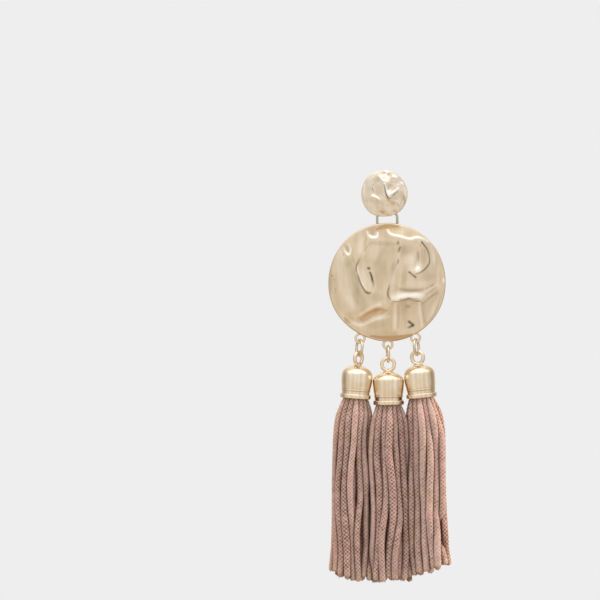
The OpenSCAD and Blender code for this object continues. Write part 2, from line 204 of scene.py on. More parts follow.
# Camera: level with the earring's middle and a long way off, as a product photo is taken.
# Its place is the middle of the photo's frame, worked out from where the stud shows in it.
view = {
    "pixel": 0.265,            # millimetres of the earring in one pixel of the photo
    "frameWidth": 600,         # the photo's width in pixels
    "studAt": (384.3, 193.7),  # the stud's middle in the photo, in pixels
    "lean": 0.7,               # degrees that the earring leans in the frame, its foot to the right
    "distance": 900.0,         # camera to earring, millimetres
    "sensor": 36.0,
    "clip": (0.05, 20.0),      # the nearest and the furthest that it sees, metres
}


def makeCamera():
    half = view["frameWidth"] / 2
    right = (view["studAt"][0] - half) * view["pixel"]
    up = (half - view["studAt"][1]) * view["pixel"]
    lean = math.radians(view["lean"])
    x = -(right * math.cos(lean) + up * math.sin(lean))
    z = right * math.sin(lean) - up * math.cos(lean)
    data = bpy.data.cameras.new("camera")
    data.sensor_width = view["sensor"]
    data.lens = view["sensor"] * view["distance"] / (view["frameWidth"] * view["pixel"])
    data.clip_start, data.clip_end = view["clip"]
    camera = bpy.data.objects.new("camera", data)
    camera.location = (x * mm, -view["distance"] * mm, z * mm)
    camera.rotation_euler = (math.pi / 2, lean, 0)
    bpy.context.scene.collection.objects.link(camera)
    bpy.context.scene.camera = camera


# Light: an even pale tent all round, a little brighter above and warm only straight below. It is all that
# the metal mirrors. The soft boxes light only what isn't glossy, so they model the round of the tassels.
light = {
    "background": "#eeeeee",
    # the tent's colour is the product of three: from below to above, from left to right, and from in front to
    # behind, which is a little darker beside the earring and draws the edges of the wires
    "tentHeights": [(0.00, "#c2a078"), (0.09, "#c8ae8c"), (0.19, "#d2c3b0"), (0.31, "#d9d3c9"),
                    (0.50, "#dcd9d4"), (0.68, "#e2e0dc"), (0.80, "#f2f1ee"), (1.00, "#ffffff")],
    "tentSides": [(0.00, "#e4e2de"), (0.12, "#ffffff"), (0.27, "#efede9"), (0.38, "#ffffff"), (0.50, "#f4f2ee"),
                  (0.62, "#ffffff"), (0.74, "#e9e6e1"), (0.88, "#ffffff"), (1.00, "#d9d6d0")],
    "tentDepths": [(0.00, "#ffffff"), (0.42, "#ffffff"), (0.58, "#cac1b2"), (0.82, "#cac1b2"), (0.95, "#ffffff")],
    "tentStrength": 1.27,
    "topFrom": 0.74, "topTo": 0.90, "topStrength": 1.90,  # the tent's bright top, by height
    "aim": (0, 0, -45),  # where the soft boxes look, millimetres
    # each soft box: place and size in millimetres, power in watts, colour
    "boxes": [
        [(-140, -120, 700), 260, 3.0, "#fffaf2"],
        [(620, -60, 60), 200, 3.4, "#fff0e2"],
        [(-640, -200, 160), 160, 0.7, "#ffffff"],
        [(0, 620, 300), 420, 1.0, "#ffffff"],
    ],
}


# The tent is the world: its colours multiplied, each read along its own axis, and stronger at the top. Straight
# behind the earring shows the plain background.
def makeTent():
    world = bpy.data.worlds.new("paleTent")
    bpy.context.scene.world = world
    world.use_nodes = True
    tree = world.node_tree
    tree.nodes.clear()
    direction = addNode(tree, "TexCoord")
    axes = addNode(tree, "SeparateXYZ", inputs={0: direction.outputs["Generated"]})
    places, ramps = [], []
    for axis, stops in (("Z", light["tentHeights"]), ("X", light["tentSides"]), ("Y", light["tentDepths"])):
        places.append(addNode(tree, "Math", {"operation": "MULTIPLY_ADD"},
                              {0: axes.outputs[axis], 1: 0.5, 2: 0.5}))
        ramps.append(addNode(tree, "ValToRGB", inputs={0: places[-1]}))
        fillRamp(ramps[-1], stops)
    colour = ramps[0].outputs[0]
    for ramp in ramps[1:]:
        product = addNode(tree, "Mix", {"data_type": "RGBA", "blend_type": "MULTIPLY"},
                          {0: 1.0, 6: colour, 7: ramp})
        colour = product.outputs[2]
    strength = addNode(tree, "MapRange", {"interpolation_type": "SMOOTHSTEP"}, {
        0: places[0], 1: light["topFrom"], 2: light["topTo"],
        3: light["tentStrength"], 4: light["topStrength"]})
    around = addNode(tree, "Background", inputs={0: colour, 1: strength})
    behind = addNode(tree, "Background", inputs={0: linearColour(light["background"]), 1: 1.0})
    rays = addNode(tree, "LightPath")
    both = addNode(tree, "MixShader",
                   inputs={0: rays.outputs["Is Camera Ray"], 1: around, 2: behind})
    addNode(tree, "OutputWorld", inputs={0: both})


# Square area lights that look at the aim
def makeSoftBoxes():
    for number, (place, size, power, hexValue) in enumerate(light["boxes"]):
        data = bpy.data.lights.new("softBox%d" % number, "AREA")
        data.size, data.energy = size * mm, power
        data.color = linearColour(hexValue)[:3]
        lamp = bpy.data.objects.new("softBox%d" % number, data)
        lamp.location = [c * mm for c in place]
        aim = np.array(light["aim"], float) - np.array(place, float)
        flat = math.hypot(aim[0], aim[1])
        lamp.rotation_euler = (math.atan2(flat, -aim[2]), 0, math.atan2(aim[1], aim[0]) - math.pi / 2)
        lamp.visible_glossy = False
        bpy.context.scene.collection.objects.link(lamp)


# Floor: a plain pale disc, low enough to stay out of the level view of a hanging earring.
# The metal mirrors the tent and not the floor, as if it hung in a tent of its own.
floor = {"height": -190.0, "radius": 420.0, "sides": 96, "colour": "#9a9997", "mottle": "#a2a19f",
         "mottleSize": 3.333, "roughness": 0.9}


def makeFloor():
    angles = 2 * np.pi * np.arange(floor["sides"]) / floor["sides"]
    ring = np.stack([np.cos(angles), np.sin(angles), np.zeros(floor["sides"])], -1) * floor["radius"]
    mesh = bpy.data.meshes.new("floor")
    mesh.from_pydata(((ring + [0, 0, floor["height"]]) * mm).tolist(), [], [list(range(floor["sides"]))])
    # plain matte paper: no gloss, a faint mottling of its fibres
    material, tree, shader = newMaterial("mattePaperFloor", {"Roughness": floor["roughness"]})
    place = addNode(tree, "TexCoord")
    mottle = addNode(tree, "TexNoise",
                     inputs={0: place.outputs["Object"], "Scale": 1000 / floor["mottleSize"]})
    tone = addNode(tree, "ValToRGB", inputs={0: mottle})
    fillRamp(tone, [(0.0, floor["mottle"]), (1.0, floor["colour"])])
    tree.links.new(tone.outputs[0], shader.inputs["Base Color"])
    mesh.materials.append(material)
    piece = bpy.data.objects.new("floor", mesh)
    bpy.context.scene.collection.objects.link(piece)
    piece.visible_glossy = False


bpy.context.scene.view_settings.view_transform = "Standard"
makeCamera()
makeTent()
makeSoftBoxes()
makeFloor()
print("stage: camera, light and floor")


# Pale gold plate over a polished casting: a soft champagne mirror. Patches of it are painted lighter and darker
# as reflections, and the crests take a painted highlight; creases hold a brown patina deepened by painted shade,
# and steep folds that face down are painted with a warm copper reflection.
plate = {
    "wireTone": 0.62,        # tone of the loops and lugs, which are smooth wire
    "discTones": [(0.00, "#a8997f"), (0.25, "#cbbb9f"), (0.50, "#e4d1b7"), (0.75, "#f4e7d5"), (1.00, "#fffdf8")],
    "studTones": [(0.00, "#b2a391"), (0.25, "#d0c1ad"), (0.50, "#e6d8c5"), (0.75, "#f6ecdf"), (1.00, "#fffdfa")],
    # the painted warm reflection's colour, and the colour of the patina with painted shade
    "paintedWarmReflection": "#c9a883", "patina": "#3c2b1b",
    "roughness": 0.17, "creaseRoughness": 0.45,
    "cloudSize": 3.846, "cloudShare": 0.09,                 # clouds in the plate: millimetres, change of tone
    "streakSizes": (1.1, 8.0, 8.0), "streakShare": 0.13,    # the same for long streaks
    "polishLine": 0.35, "polishDepth": 0.004, "polishShare": 0.35,  # polishing lines: millimetres, and bump
}


def platedCasting(name, tones):
    material, tree, shader = newMaterial(name, {"Metallic": 1.0})
    place = addNode(tree, "TexCoord")
    clouds = addNode(tree, "TexNoise", inputs={
        0: place.outputs["Object"], "Scale": 1000 / plate["cloudSize"], "Detail": 3.0})
    cloudy = addNode(tree, "Math", {"operation": "MULTIPLY_ADD"},
                     {0: clouds, 1: 2 * plate["cloudShare"], 2: -plate["cloudShare"]})
    tone = addNode(tree, "Attribute", {"attribute_name": "tone"})
    stretched = addNode(tree, "Mapping", inputs={
        "Vector": place.outputs["Object"], "Scale": tuple(1000 / size for size in plate["streakSizes"])})
    streaks = addNode(tree, "TexNoise", inputs={0: stretched, "Scale": 1.0, "Detail": 2.0})
    streaky = addNode(tree, "Math", {"operation": "MULTIPLY_ADD"},
                      {0: streaks, 1: 2 * plate["streakShare"], 2: -plate["streakShare"]})
    clouded = addNode(tree, "Math", {"operation": "ADD"}, {0: cloudy, 1: streaky})
    mixed = addNode(tree, "Math", {"operation": "ADD"}, {0: tone.outputs["Fac"], 1: clouded})
    tint = addNode(tree, "ValToRGB", inputs={0: mixed})
    fillRamp(tint, tones, smooth=False)
    # painted warm reflection where the folds face down
    paintedWarmLight = addNode(tree, "Attribute", {"attribute_name": "paintedWarmLight"})
    warmReflectionMix = addNode(tree, "Mix", {"data_type": "RGBA"},
                      {0: paintedWarmLight.outputs["Fac"], 6: tint, 7: linearColour(plate["paintedWarmReflection"])})
    # patina with painted shade along the dark crease lines
    crease = addNode(tree, "Attribute", {"attribute_name": "crease"})
    colour = addNode(tree, "Mix", {"data_type": "RGBA"},
                     {0: crease.outputs["Fac"], 6: warmReflectionMix.outputs[2], 7: linearColour(plate["patina"])})
    tree.links.new(colour.outputs[2], shader.inputs["Base Color"])
    rough = addNode(tree, "MapRange",
                    inputs={0: crease.outputs["Fac"], 3: plate["roughness"], 4: plate["creaseRoughness"]})
    tree.links.new(rough.outputs[0], shader.inputs["Roughness"])
    # polishing lines a third of a millimetre apart, only just deep enough to break the reflections. Real ones
    # are finer and wouldn't show.
    lines = addNode(tree, "TexNoise", inputs={
        0: place.outputs["Object"], "Scale": 1000 / plate["polishLine"], "Detail": 2.0})
    bump = addNode(tree, "Bump", inputs={
        "Strength": plate["polishShare"], "Distance": plate["polishDepth"] * mm, "Height": lines})
    tree.links.new(bump.outputs[0], shader.inputs["Normal"])
    return material


# Gold plated wire: drawn round and tumbled, so it shines evenly, with small clouds in its tone and its gloss
wirePlate = {"gold": [(0.3, "#d6c8b0"), (0.7, "#e8dcc7")], "grey": [(0.3, "#b5aa9d"), (0.7, "#ccc1b4")],
             "cloudSize": 1.667, "roughness": (0.12, 0.24)}


def platedWire(name, tones):
    material, tree, shader = newMaterial(name, {"Metallic": 1.0})
    place = addNode(tree, "TexCoord")
    clouds = addNode(tree, "TexNoise", inputs={
        0: place.outputs["Object"], "Scale": 1000 / wirePlate["cloudSize"]})
    tint = addNode(tree, "ValToRGB", inputs={0: clouds})
    fillRamp(tint, tones)
    tree.links.new(tint.outputs[0], shader.inputs["Base Color"])
    glossy, dull = wirePlate["roughness"]
    rough = addNode(tree, "MapRange", inputs={0: clouds, 3: glossy, 4: dull})
    tree.links.new(rough.outputs[0], shader.inputs["Roughness"])
    return material


# Warm gold plate on a smooth cap casting: glossier and yellower than the discs, with tiny surface waves, and
# patina in its grooves
capPlate = {"tones": [(0.3, "#ead7bd"), (0.7, "#f4e6d3")], "patina": "#6b4f2c", "roughness": 0.11,
            "waveSize": 2.857, "waveDepth": 0.02, "waveShare": 0.2}


def platedCap():
    material, tree, shader = newMaterial(
        "warmGoldPlateOnCastCap", {"Metallic": 1.0, "Roughness": capPlate["roughness"]})
    place = addNode(tree, "TexCoord")
    clouds = addNode(tree, "TexNoise", inputs={
        0: place.outputs["Object"], "Scale": 1000 / capPlate["waveSize"], "Detail": 3.0})
    tint = addNode(tree, "ValToRGB", inputs={0: clouds})
    fillRamp(tint, capPlate["tones"])
    crease = addNode(tree, "Attribute", {"attribute_name": "crease"})
    colour = addNode(tree, "Mix", {"data_type": "RGBA"},
                     {0: crease.outputs["Fac"], 6: tint, 7: linearColour(capPlate["patina"])})
    tree.links.new(colour.outputs[2], shader.inputs["Base Color"])
    bump = addNode(tree, "Bump", inputs={
        "Strength": capPlate["waveShare"], "Distance": capPlate["waveDepth"] * mm, "Height": clouds})
    tree.links.new(bump.outputs[0], shader.inputs["Normal"])
    return material


studGold = platedCasting("palePinkGoldPlateOnHammeredCasting", plate["studTones"])
discGold = platedCasting("paleGoldPlateOnHammeredCasting", plate["discTones"])
wireGold = platedWire("paleGoldPlatedWire", wirePlate["gold"])
# the link's wire is a darker, greyer copy of the same plate: painted shade for its darker reflection
shadedHingeWire = platedWire("shadedCopyOfGoldPlatedWire", wirePlate["grey"])
capGold = platedCap()


# A hammered face, in shares of its radius: u to the right and v up from its middle. Its large forms are
# folds, dents and waves. A fold is a ridge along a run of points whose height dies away exponentially from
# its crest, over one width to the left of the run and another to its right. A dent is a sunken bell.
hammering = {
    "gridSize": 320, "gridReach": 1.1,  # points along the square grid of large forms, and its half side
    "waveBend": 0.12, "waveBends": 4,   # how far and how often the long shallow waves wander
    # the crests' change of tone is a painted highlight
    "crestHeight": 0.11, "creaseDepth": 0.10, "crestHighlight": 0.62,  # millimetres, and change of tone
    "tintEdge": (0.1, 0.8),             # a tint sets in between these values of its bell
    "bandEdge": (0.6, 1.25),            # a band's soft edge, in shares of its half width
    "rimFrom": 0.982, "rimLeft": 0.4,   # where the rim starts to round off, and the share of its thickness left
    "flatFrom": 0.84, "flatter": 0.75,  # where the relief starts to fade, and how much of it is gone at the rim
    "crowding": 1.1,                    # rings of points lie closer together towards the rim by this power
    "backRings": (0.985, 0.03),         # the outermost and the innermost ring of the back
    "hollowEdge": (0.35, 0.84),         # the slope round the back's hollow
}


# A run with its corners rounded: each pass cuts them at a quarter of each stretch
def roundedRun(run, passes=2):
    run = np.array(run, float)
    for _ in range(passes):
        cut = np.empty((2 * len(run) - 2, run.shape[1]))
        cut[0::2] = run[:-1] * 0.75 + run[1:] * 0.25
        cut[1::2] = run[:-1] * 0.25 + run[1:] * 0.75
        run = np.vstack([run[:1], cut, run[-1:]])
    return run


# Distance from each point to a run, which side of it the point lies on from -1 to 1 (smoothly round its
# ends), and the run's third value at the nearest place
def nearRun(u, v, run):
    distance, side, value = np.full(u.shape, 9.0), np.zeros(u.shape), np.zeros(u.shape)
    for start, end in zip(run[:-1], run[1:]):
        dx, dy = end[:2] - start[:2]
        share = np.clip(((u - start[0]) * dx + (v - start[1]) * dy) / (dx * dx + dy * dy), 0, 1)
        gap = np.hypot(u - start[0] - share * dx, v - start[1] - share * dy)
        square = (dx * (v - start[1]) - dy * (u - start[0])) / math.hypot(dx, dy)
        nearer = gap < distance
        distance = np.where(nearer, gap, distance)
        side = np.where(nearer, square / np.maximum(gap, 1e-6), side)
        if len(start) > 2:
            value = np.where(nearer, start[2] + share * (end[2] - start[2]), value)
    return distance, side, value


# A bell on the face: e to the minus of the squares of its shares of length and width, turned in degrees
def bell(u, v, x, y, length, width, turn):
    c, s = math.cos(math.radians(turn)), math.sin(math.radians(turn))
    p, q = (u - x) * c + (v - y) * s, (v - y) * c - (u - x) * s
    return np.exp(-(p / length) ** 2 - (q / width) ** 2)


# The large forms' height on a square grid over the face, blurred a little so that no kink is left where
# two stretches of a run meet
def formGrid(table):
    size, reach = hammering["gridSize"], hammering["gridReach"]
    line = np.linspace(-reach, reach, size)
    u, v = np.meshgrid(line, line, indexing="ij")
    height = np.zeros(u.shape)
    for rise, left, right, run in table["folds"]:
        distance, side, _ = nearRun(u, v, roundedRun(run))
        width = right + (left - right) * smoothStep(-1, 1, side)
        height += rise * np.exp(-distance / width)
    for x, y, length, width, turn, depth in table["dents"]:
        height -= depth * bell(u, v, x, y, length, width, turn)
    for pitch, depth, turn, start in table["waves"]:
        c, s = math.cos(math.radians(turn)), math.sin(math.radians(turn))
        bent = u * c + v * s + hammering["waveBend"] * np.sin(hammering["waveBends"] * (v * c - u * s) + start)
        height += depth * np.sin(2 * np.pi * bent / pitch + start)
    # Gaussian blur as a product with its transform
    rate = np.fft.fftfreq(size, line[1] - line[0])
    fade = np.exp(-2 * (np.pi * table["blur"] * rate) ** 2)
    return np.real(np.fft.ifft2(np.fft.fft2(height) * fade[:, None] * fade[None, :]))


# Height between the grid's points, weighted from the four round each place
def gridHeight(grid, u, v):
    size, reach = hammering["gridSize"], hammering["gridReach"]
    i, j = [np.clip((w + reach) / (2 * reach) * (size - 1), 0, size - 1.001) for w in (u, v)]
    a, b = i.astype(int), j.astype(int)
    p, q = i - a, j - b
    return ((grid[a, b] * (1 - p) + grid[a + 1, b] * p) * (1 - q)
            + (grid[a, b + 1] * (1 - p) + grid[a + 1, b + 1] * p) * q)


# Strokes on the face: each is a width and a run of x, y and strength. Its share is the strength times a
# bell across the run, worked out only in the run's own box.
def strokeShare(u, v, strokes):
    share = np.zeros(u.shape)
    for width, run in strokes:
        run = roundedRun(run)
        low, high = run[:, :2].min(0) - 3 * width, run[:, :2].max(0) + 3 * width
        box = (u > low[0]) & (u < high[0]) & (v > low[1]) & (v < high[1])
        distance, _, value = nearRun(u[box], v[box], run)
        share[box] = np.maximum(share[box], value * np.exp(-(distance / width) ** 2))
    return share


# Bands on the face: a run of x, y and half width, even inside and soft at its edge
def bandShare(u, v, bands):
    share = np.zeros(u.shape)
    for strength, run in bands:
        distance, _, half = nearRun(u, v, roundedRun(run))
        inside = 1 - smoothStep(*hammering["bandEdge"], distance / np.maximum(half, 1e-3))
        share = np.maximum(share, strength * inside)
    return share


# From 0 at low to 1 at high, level at both: 3 s squared minus 2 s cubed
def smoothStep(low, high, value):
    share = np.clip((value - low) / (high - low), 0, 1)
    return share * share * (3 - 2 * share)


# The closed skin of a hammered disc: rings of points from the middle of its face out over the rounded
# rim, then in across its back, each ring following a slightly uneven outline. The face's height is the rim's
# thickness, plus the rise times one minus the square of the share of the radius, plus the relief.
def hammeredSkin(piece, table):
    radius, columns = piece["diameter"] / 2, piece["sectors"]
    fronts = 1 - (1 - np.arange(1, piece["rings"] + 1) / piece["rings"]) ** hammering["crowding"]
    angles = 2 * np.pi * np.arange(columns) / columns
    rho, angle = np.meshgrid(fronts, angles, indexing="ij")
    u, v = rho * np.cos(angle), rho * np.sin(angle)
    forms = formGrid(table)
    dark, bright = strokeShare(u, v, table["creases"]), strokeShare(u, v, table["crests"])
    over = np.clip(rho - hammering["rimFrom"], 0, None) / (1 - hammering["rimFrom"])
    edge = hammering["rimLeft"] + (1 - hammering["rimLeft"]) * np.sqrt(np.clip(1 - over ** 2, 0, None))
    fade = 1 - hammering["flatter"] * smoothStep(hammering["flatFrom"], 1, rho)
    face = piece["rimThickness"] * edge + piece["rise"] * (1 - rho ** 2)
    face += piece["relief"] * fade * gridHeight(forms, u, v)
    face += fade * (hammering["crestHeight"] * bright - hammering["creaseDepth"] * dark)
    # a shadow of the face's folds shows through as a shallow waviness of the back
    backs = np.concatenate([[1.0], np.linspace(*hammering["backRings"], piece["backRings"])])
    backRho, backAngle = np.meshgrid(backs, angles, indexing="ij")
    back = piece["hollow"] * (1 - smoothStep(*hammering["hollowEdge"], backRho))
    back += piece["backRelief"] * (1 - backRho ** 4) * gridHeight(
        forms, backRho * np.cos(backAngle), backRho * np.sin(backAngle))
    allRho, allAngle = np.vstack([rho, backRho]), np.vstack([angle, backAngle])
    wave = sum(share * np.sin(count * allAngle + math.radians(start)) for count, share, start in piece["waves"])
    out = radius * allRho * (1 + allRho * wave)
    depth = np.vstack([face, back])
    points = np.stack([out * np.cos(allAngle), -depth, out * np.sin(allAngle)], -1).reshape(-1, 3)
    middle = gridHeight(forms, np.zeros(1), np.zeros(1))[0]
    centreFace = piece["rimThickness"] + piece["rise"] + piece["relief"] * middle
    centreBack = piece["hollow"] + piece["backRelief"] * middle
    # columns turn anticlockwise as seen from the front, so the faces of the grid and its ends are turned over
    shape = {"points": np.vstack([points, [0, -centreFace, 0], [0, -centreBack, 0]]),
             "quads": gridQuads(len(allRho), columns)[:, ::-1],
             "triangles": endFans(columns, len(points))[:, [1, 0, 2]]}
    # painted reflections: patches of the face painted lighter and darker, and a painted highlight along the crests
    paintedReflectionPatches = sum(change * smoothStep(*hammering["tintEdge"], bell(u, v, *place))
                for *place, change in table["paintedReflectionPatches"])
    tone = table["lightness"] + hammering["crestHighlight"] * bright + paintedReflectionPatches
    # the crease share holds the patina with painted shade, and the warm share the painted warm reflection
    # the back and both middles take the last value
    for key, front, rest in [("crease", np.clip(dark, 0, 1), 0.0), ("tone", np.clip(tone, 0, 1), 0.5),
                             ("paintedWarmLight", bandShare(u, v, table["paintedWarmReflection"]), 0.0)]:
        shape[key] = np.concatenate([front.ravel(), np.full(len(shape["points"]) - front.size, rest)])
    return shape


# The lug behind a disc: a short open tube along X, a bevelled outline revolved about it, and the block of
# solder that it sits in
lugs = {"length": 2.4, "wall": 0.4, "clearance": 0.08, "sink": 0.08, "inset": 1.15, "shift": 0.7, "wire": 0.65,
        "bevel": 0.06, "sides": 40}
solder = {
    "rows": 9, "spread": 0.20, "spreadPower": 1.6, "rise": 0.75, "risePower": 2.2, "sink": 0.1, "inset": 0.98,
    # its corners inside the disc and the tube: share of the lug's radius and more, share of its depth and more
    "hidden": [[1, 0.15, -1, -0.25], [0.5, 0, -1, -0.25], [0.75, 0, -0.35, 0]],
}
lugBore = lugs["wire"] / 2 + lugs["clearance"]
lugRadius = lugBore + lugs["wall"]
lugDepth = lugRadius - lugs["sink"]


def lugShape(height):
    half, bevel, sides = lugs["length"] / 2, lugs["bevel"], lugs["sides"]
    # the wall's outline, a closed line: radius and place along X
    outline = np.array([
        [lugBore, -half + bevel], [lugBore + bevel, -half], [lugRadius - bevel, -half], [lugRadius, -half + bevel],
        [lugRadius, half - bevel], [lugRadius - bevel, half], [lugBore + bevel, half], [lugBore, half - bevel]])
    angles = 2 * np.pi * np.arange(sides) / sides
    points = np.stack([np.repeat(outline[:, 1:], sides, 1), outline[:, :1] * np.cos(angles),
                       outline[:, :1] * np.sin(angles)], -1).reshape(-1, 3)
    shapes = [{"points": points, "quads": gridQuads(len(outline) + 1, sides) % len(points),
               "triangles": np.zeros((0, 3), int)}]
    # solder: a fillet on each side of the tube, a hollow curve from the tube down to the disc's back
    share = np.linspace(0, 1, solder["rows"])
    reach = lugRadius * solder["inset"] + solder["spread"] * share ** solder["spreadPower"]
    rise = -lugDepth - solder["sink"] + lugDepth * solder["rise"] * (1 - share) ** solder["risePower"]
    for side in (-1, 1):
        corners = [[side * (lugRadius * a + b), lugDepth * c + d] for a, b, c, d in solder["hidden"]]
        section = np.vstack([np.stack([side * reach, rise], -1), corners])
        grid = np.array([[[end * half * solder["inset"], y, z] for z, y in section] for end in (-1, 1)])
        if side < 0:
            grid = grid[:, ::-1]
        count = len(section)
        shapes.append({"points": np.vstack([grid.reshape(-1, 3), grid.mean(1)]), "quads": gridQuads(2, count),
                       "triangles": endFans(count, 2 * count)})
    return [movedShape(s, lambda p: p + [lugs["shift"], lugDepth, height]) for s in shapes]


# Stud: its sizes in millimetres, and its folds, dents and marks in shares of its radius
stud = {"diameter": 12.4, "rimThickness": 0.9, "rise": 1.0, "relief": 0.6, "hollow": 0.0, "backRelief": 0.0,
        "rings": 90, "sectors": 280, "backRings": 12,
        # waves of its outline: how many go round, height as a share of the radius, start in degrees
        "waves": [(2, 0.004, -90), (3, 0.011, 151), (4, 0.008, -127), (5, 0.005, 45), (6, 0.005, 40)]}
studRelief = {
    "blur": 0.028, "lightness": 0.58,
    # height, width left and right of the run, and the run's points
    "folds": [
        [0.55, 0.24, 0.08, [[-0.02, 0.44], [0.01, 0.18], [0.06, -0.03], [0.14, -0.18]]],
        [0.34, 0.12, 0.34, [[0.16, -0.2], [0.34, -0.11], [0.46, -0.01], [0.64, 0.09]]],
        [-0.3, 0.16, 0.1, [[-0.48, 0.38], [-0.51, 0.18], [-0.45, 0.02]]],
        [0.3, 0.12, 0.12, [[-0.54, -0.1], [-0.36, -0.16], [-0.2, -0.28]]],
        [0.26, 0.12, 0.12, [[-0.16, 0.7], [-0.1, 0.58], [0.18, 0.5]]],
        [0.2, 0.08, 0.1, [[0.11, 0.92], [0.42, 0.7], [0.77, 0.42]]],
    ],
    # place, length, width, turn and depth
    "dents": [
        [0.22, 0.28, 0.22, 0.14, 60, 0.4], [-0.22, 0.1, 0.3, 0.18, 95, 0.3], [0.25, -0.5, 0.22, 0.19, 10, 0.42],
        [-0.46, -0.52, 0.26, 0.18, 140, 0.3], [0.7, -0.36, 0.24, 0.15, 60, 0.32], [-0.8, 0.2, 0.34, 0.13, 85, 0.24],
        [-0.1, -0.86, 0.2, 0.11, 0, 0.36], [0.46, -0.8, 0.14, 0.1, 30, 0.3], [0.22, 0.8, 0.16, 0.1, 160, 0.3],
        [0.02, 0.84, 0.08, 0.07, 0, 0.2], [0.36, 0.62, 0.1, 0.09, 30, 0.22], [0.6, 0.5, 0.12, 0.08, 120, 0.22],
        [-0.34, 0.62, 0.14, 0.1, 20, 0.22],
    ],
    # long shallow hammer waves: pitch, depth, turn and start
    "waves": [[0.52, 0.04, 35, 0.4], [0.41, 0.03, 110, 2.0], [0.3, 0.02, 75, 4.0]],
    # dark lines, a patina with painted shade, and bright crests with a painted highlight: width, and points with
    # their strength
    "creases": [
        [0.03, [[-0.01, 0.38, 0.4], [0.02, 0.2, 0.7], [0.055, -0.02, 0.8], [0.13, -0.16, 1.0], [0.17, -0.2, 0.7]]],
        [0.018, [[0.05, -0.16, 0.2], [0.12, -0.24, 0.35], [0.23, -0.25, 0.5], [0.355, -0.1, 0.5]]],
        [0.026, [[0.355, -0.1, 0.65], [0.46, -0.01, 0.7], [0.61, 0.085, 0.45]]],
        [0.024, [[-0.47, 0.39, 0.55], [-0.475, 0.34, 0.1], [-0.51, 0.2, 0.6], [-0.5, 0.12, 0.3],
                 [-0.455, 0.04, 0.45]]],
        [0.028, [[0.8, -0.2, 0.25], [0.86, -0.28, 0.35], [0.84, -0.44, 0.35], [0.78, -0.54, 0.1]]],
        [0.022, [[-0.2, -0.86, 0.2], [-0.23, -0.98, 0.4]]],
        [0.02, [[0.1, 0.31, 0.15], [0.18, 0.3, 0.28], [0.32, 0.37, 0.35], [0.33, 0.4, 0.1]]],
    ],
    "crests": [
        [0.03, [[0.02, 0.42, 0.9], [0.05, 0.26, 0.6], [0.1, 0.1, 0.8], [0.17, -0.02, 1.0]]],
        [0.065, [[0.19, 0.03, 0.7], [0.2, -0.06, 0.9], [0.25, -0.02, 0.7]]],
        [0.035, [[0.33, 0.01, 0.6], [0.45, 0.1, 0.9], [0.6, 0.21, 0.6]]],
        [0.04, [[-0.54, -0.1, 0.7], [-0.36, -0.15, 1.0], [-0.21, -0.26, 0.5]]],
        [0.04, [[-0.18, 0.72, 0.7], [-0.11, 0.6, 0.6], [0.0, 0.52, 0.7], [0.2, 0.48, 0.4]]],
        [0.04, [[0.08, 0.95, 0.6], [0.15, 0.86, 0.5], [0.04, 0.76, 0.4], [-0.1, 0.7, 0.5]]],
        [0.035, [[0.38, 0.7, 0.7], [0.52, 0.7, 0.5]]],
        [0.035, [[0.74, 0.44, 0.7], [0.8, 0.4, 0.6]]],
        [0.03, [[0.86, 0.04, 0.5], [0.91, -0.08, 0.7]]],
        [0.024, [[-0.48, 0.28, 0.6], [-0.47, 0.24, 0.4]]],
        [0.03, [[0.4, -0.3, 0.35], [0.56, -0.36, 0.6], [0.62, -0.44, 0.3]]],
    ],
    # painted reflections, patches painted lighter and darker: place, length, width, turn and change of lightness
    "paintedReflectionPatches": [
        [-0.33, 0.6, 0.2, 0.13, 20, -0.22], [0.2, 0.78, 0.12, 0.09, 130, -0.22], [-0.04, 0.86, 0.1, 0.08, 0, -0.14],
        [0.36, 0.58, 0.12, 0.08, 60, -0.2], [0.24, 0.26, 0.14, 0.1, 60, -0.2], [-0.28, 0.12, 0.3, 0.14, 95, -0.16],
        [-0.6, 0.22, 0.24, 0.08, 85, -0.12], [-0.25, -0.36, 0.26, 0.1, 150, -0.14],
        [0.34, -0.42, 0.1, 0.09, 0, -0.14], [0.2, -0.36, 0.18, 0.07, 10, 0.1], [0.86, -0.3, 0.24, 0.06, 100, -0.2],
        [-0.72, -0.44, 0.24, 0.08, 115, -0.1], [0.7, 0.2, 0.2, 0.16, 0, 0.08], [0.1, -0.66, 0.12, 0.12, 0, 0.06],
        [-0.86, 0.2, 0.4, 0.06, 90, 0.1],
    ],
    # painted warm reflection on folds that face down: strength, and points with half the band's width
    "paintedWarmReflection": [
        [0.55, [[-0.12, -0.8, 0.05], [-0.07, -0.85, 0.09], [0.0, -0.88, 0.04]]],
        [0.4, [[0.06, -0.9, 0.05], [0.16, -0.9, 0.03]]],
        [0.42, [[0.4, -0.74, 0.04], [0.46, -0.8, 0.08], [0.54, -0.78, 0.03]]],
        [0.16, [[-0.74, 0.16, 0.03], [-0.73, -0.04, 0.07], [-0.7, -0.2, 0.02]]],
        [0.16, [[0.72, 0.06, 0.03], [0.75, -0.03, 0.07], [0.76, -0.14, 0.02]]],
        [0.14, [[-0.34, -0.62, 0.05], [-0.26, -0.7, 0.1], [-0.2, -0.76, 0.05]]],
    ],
}

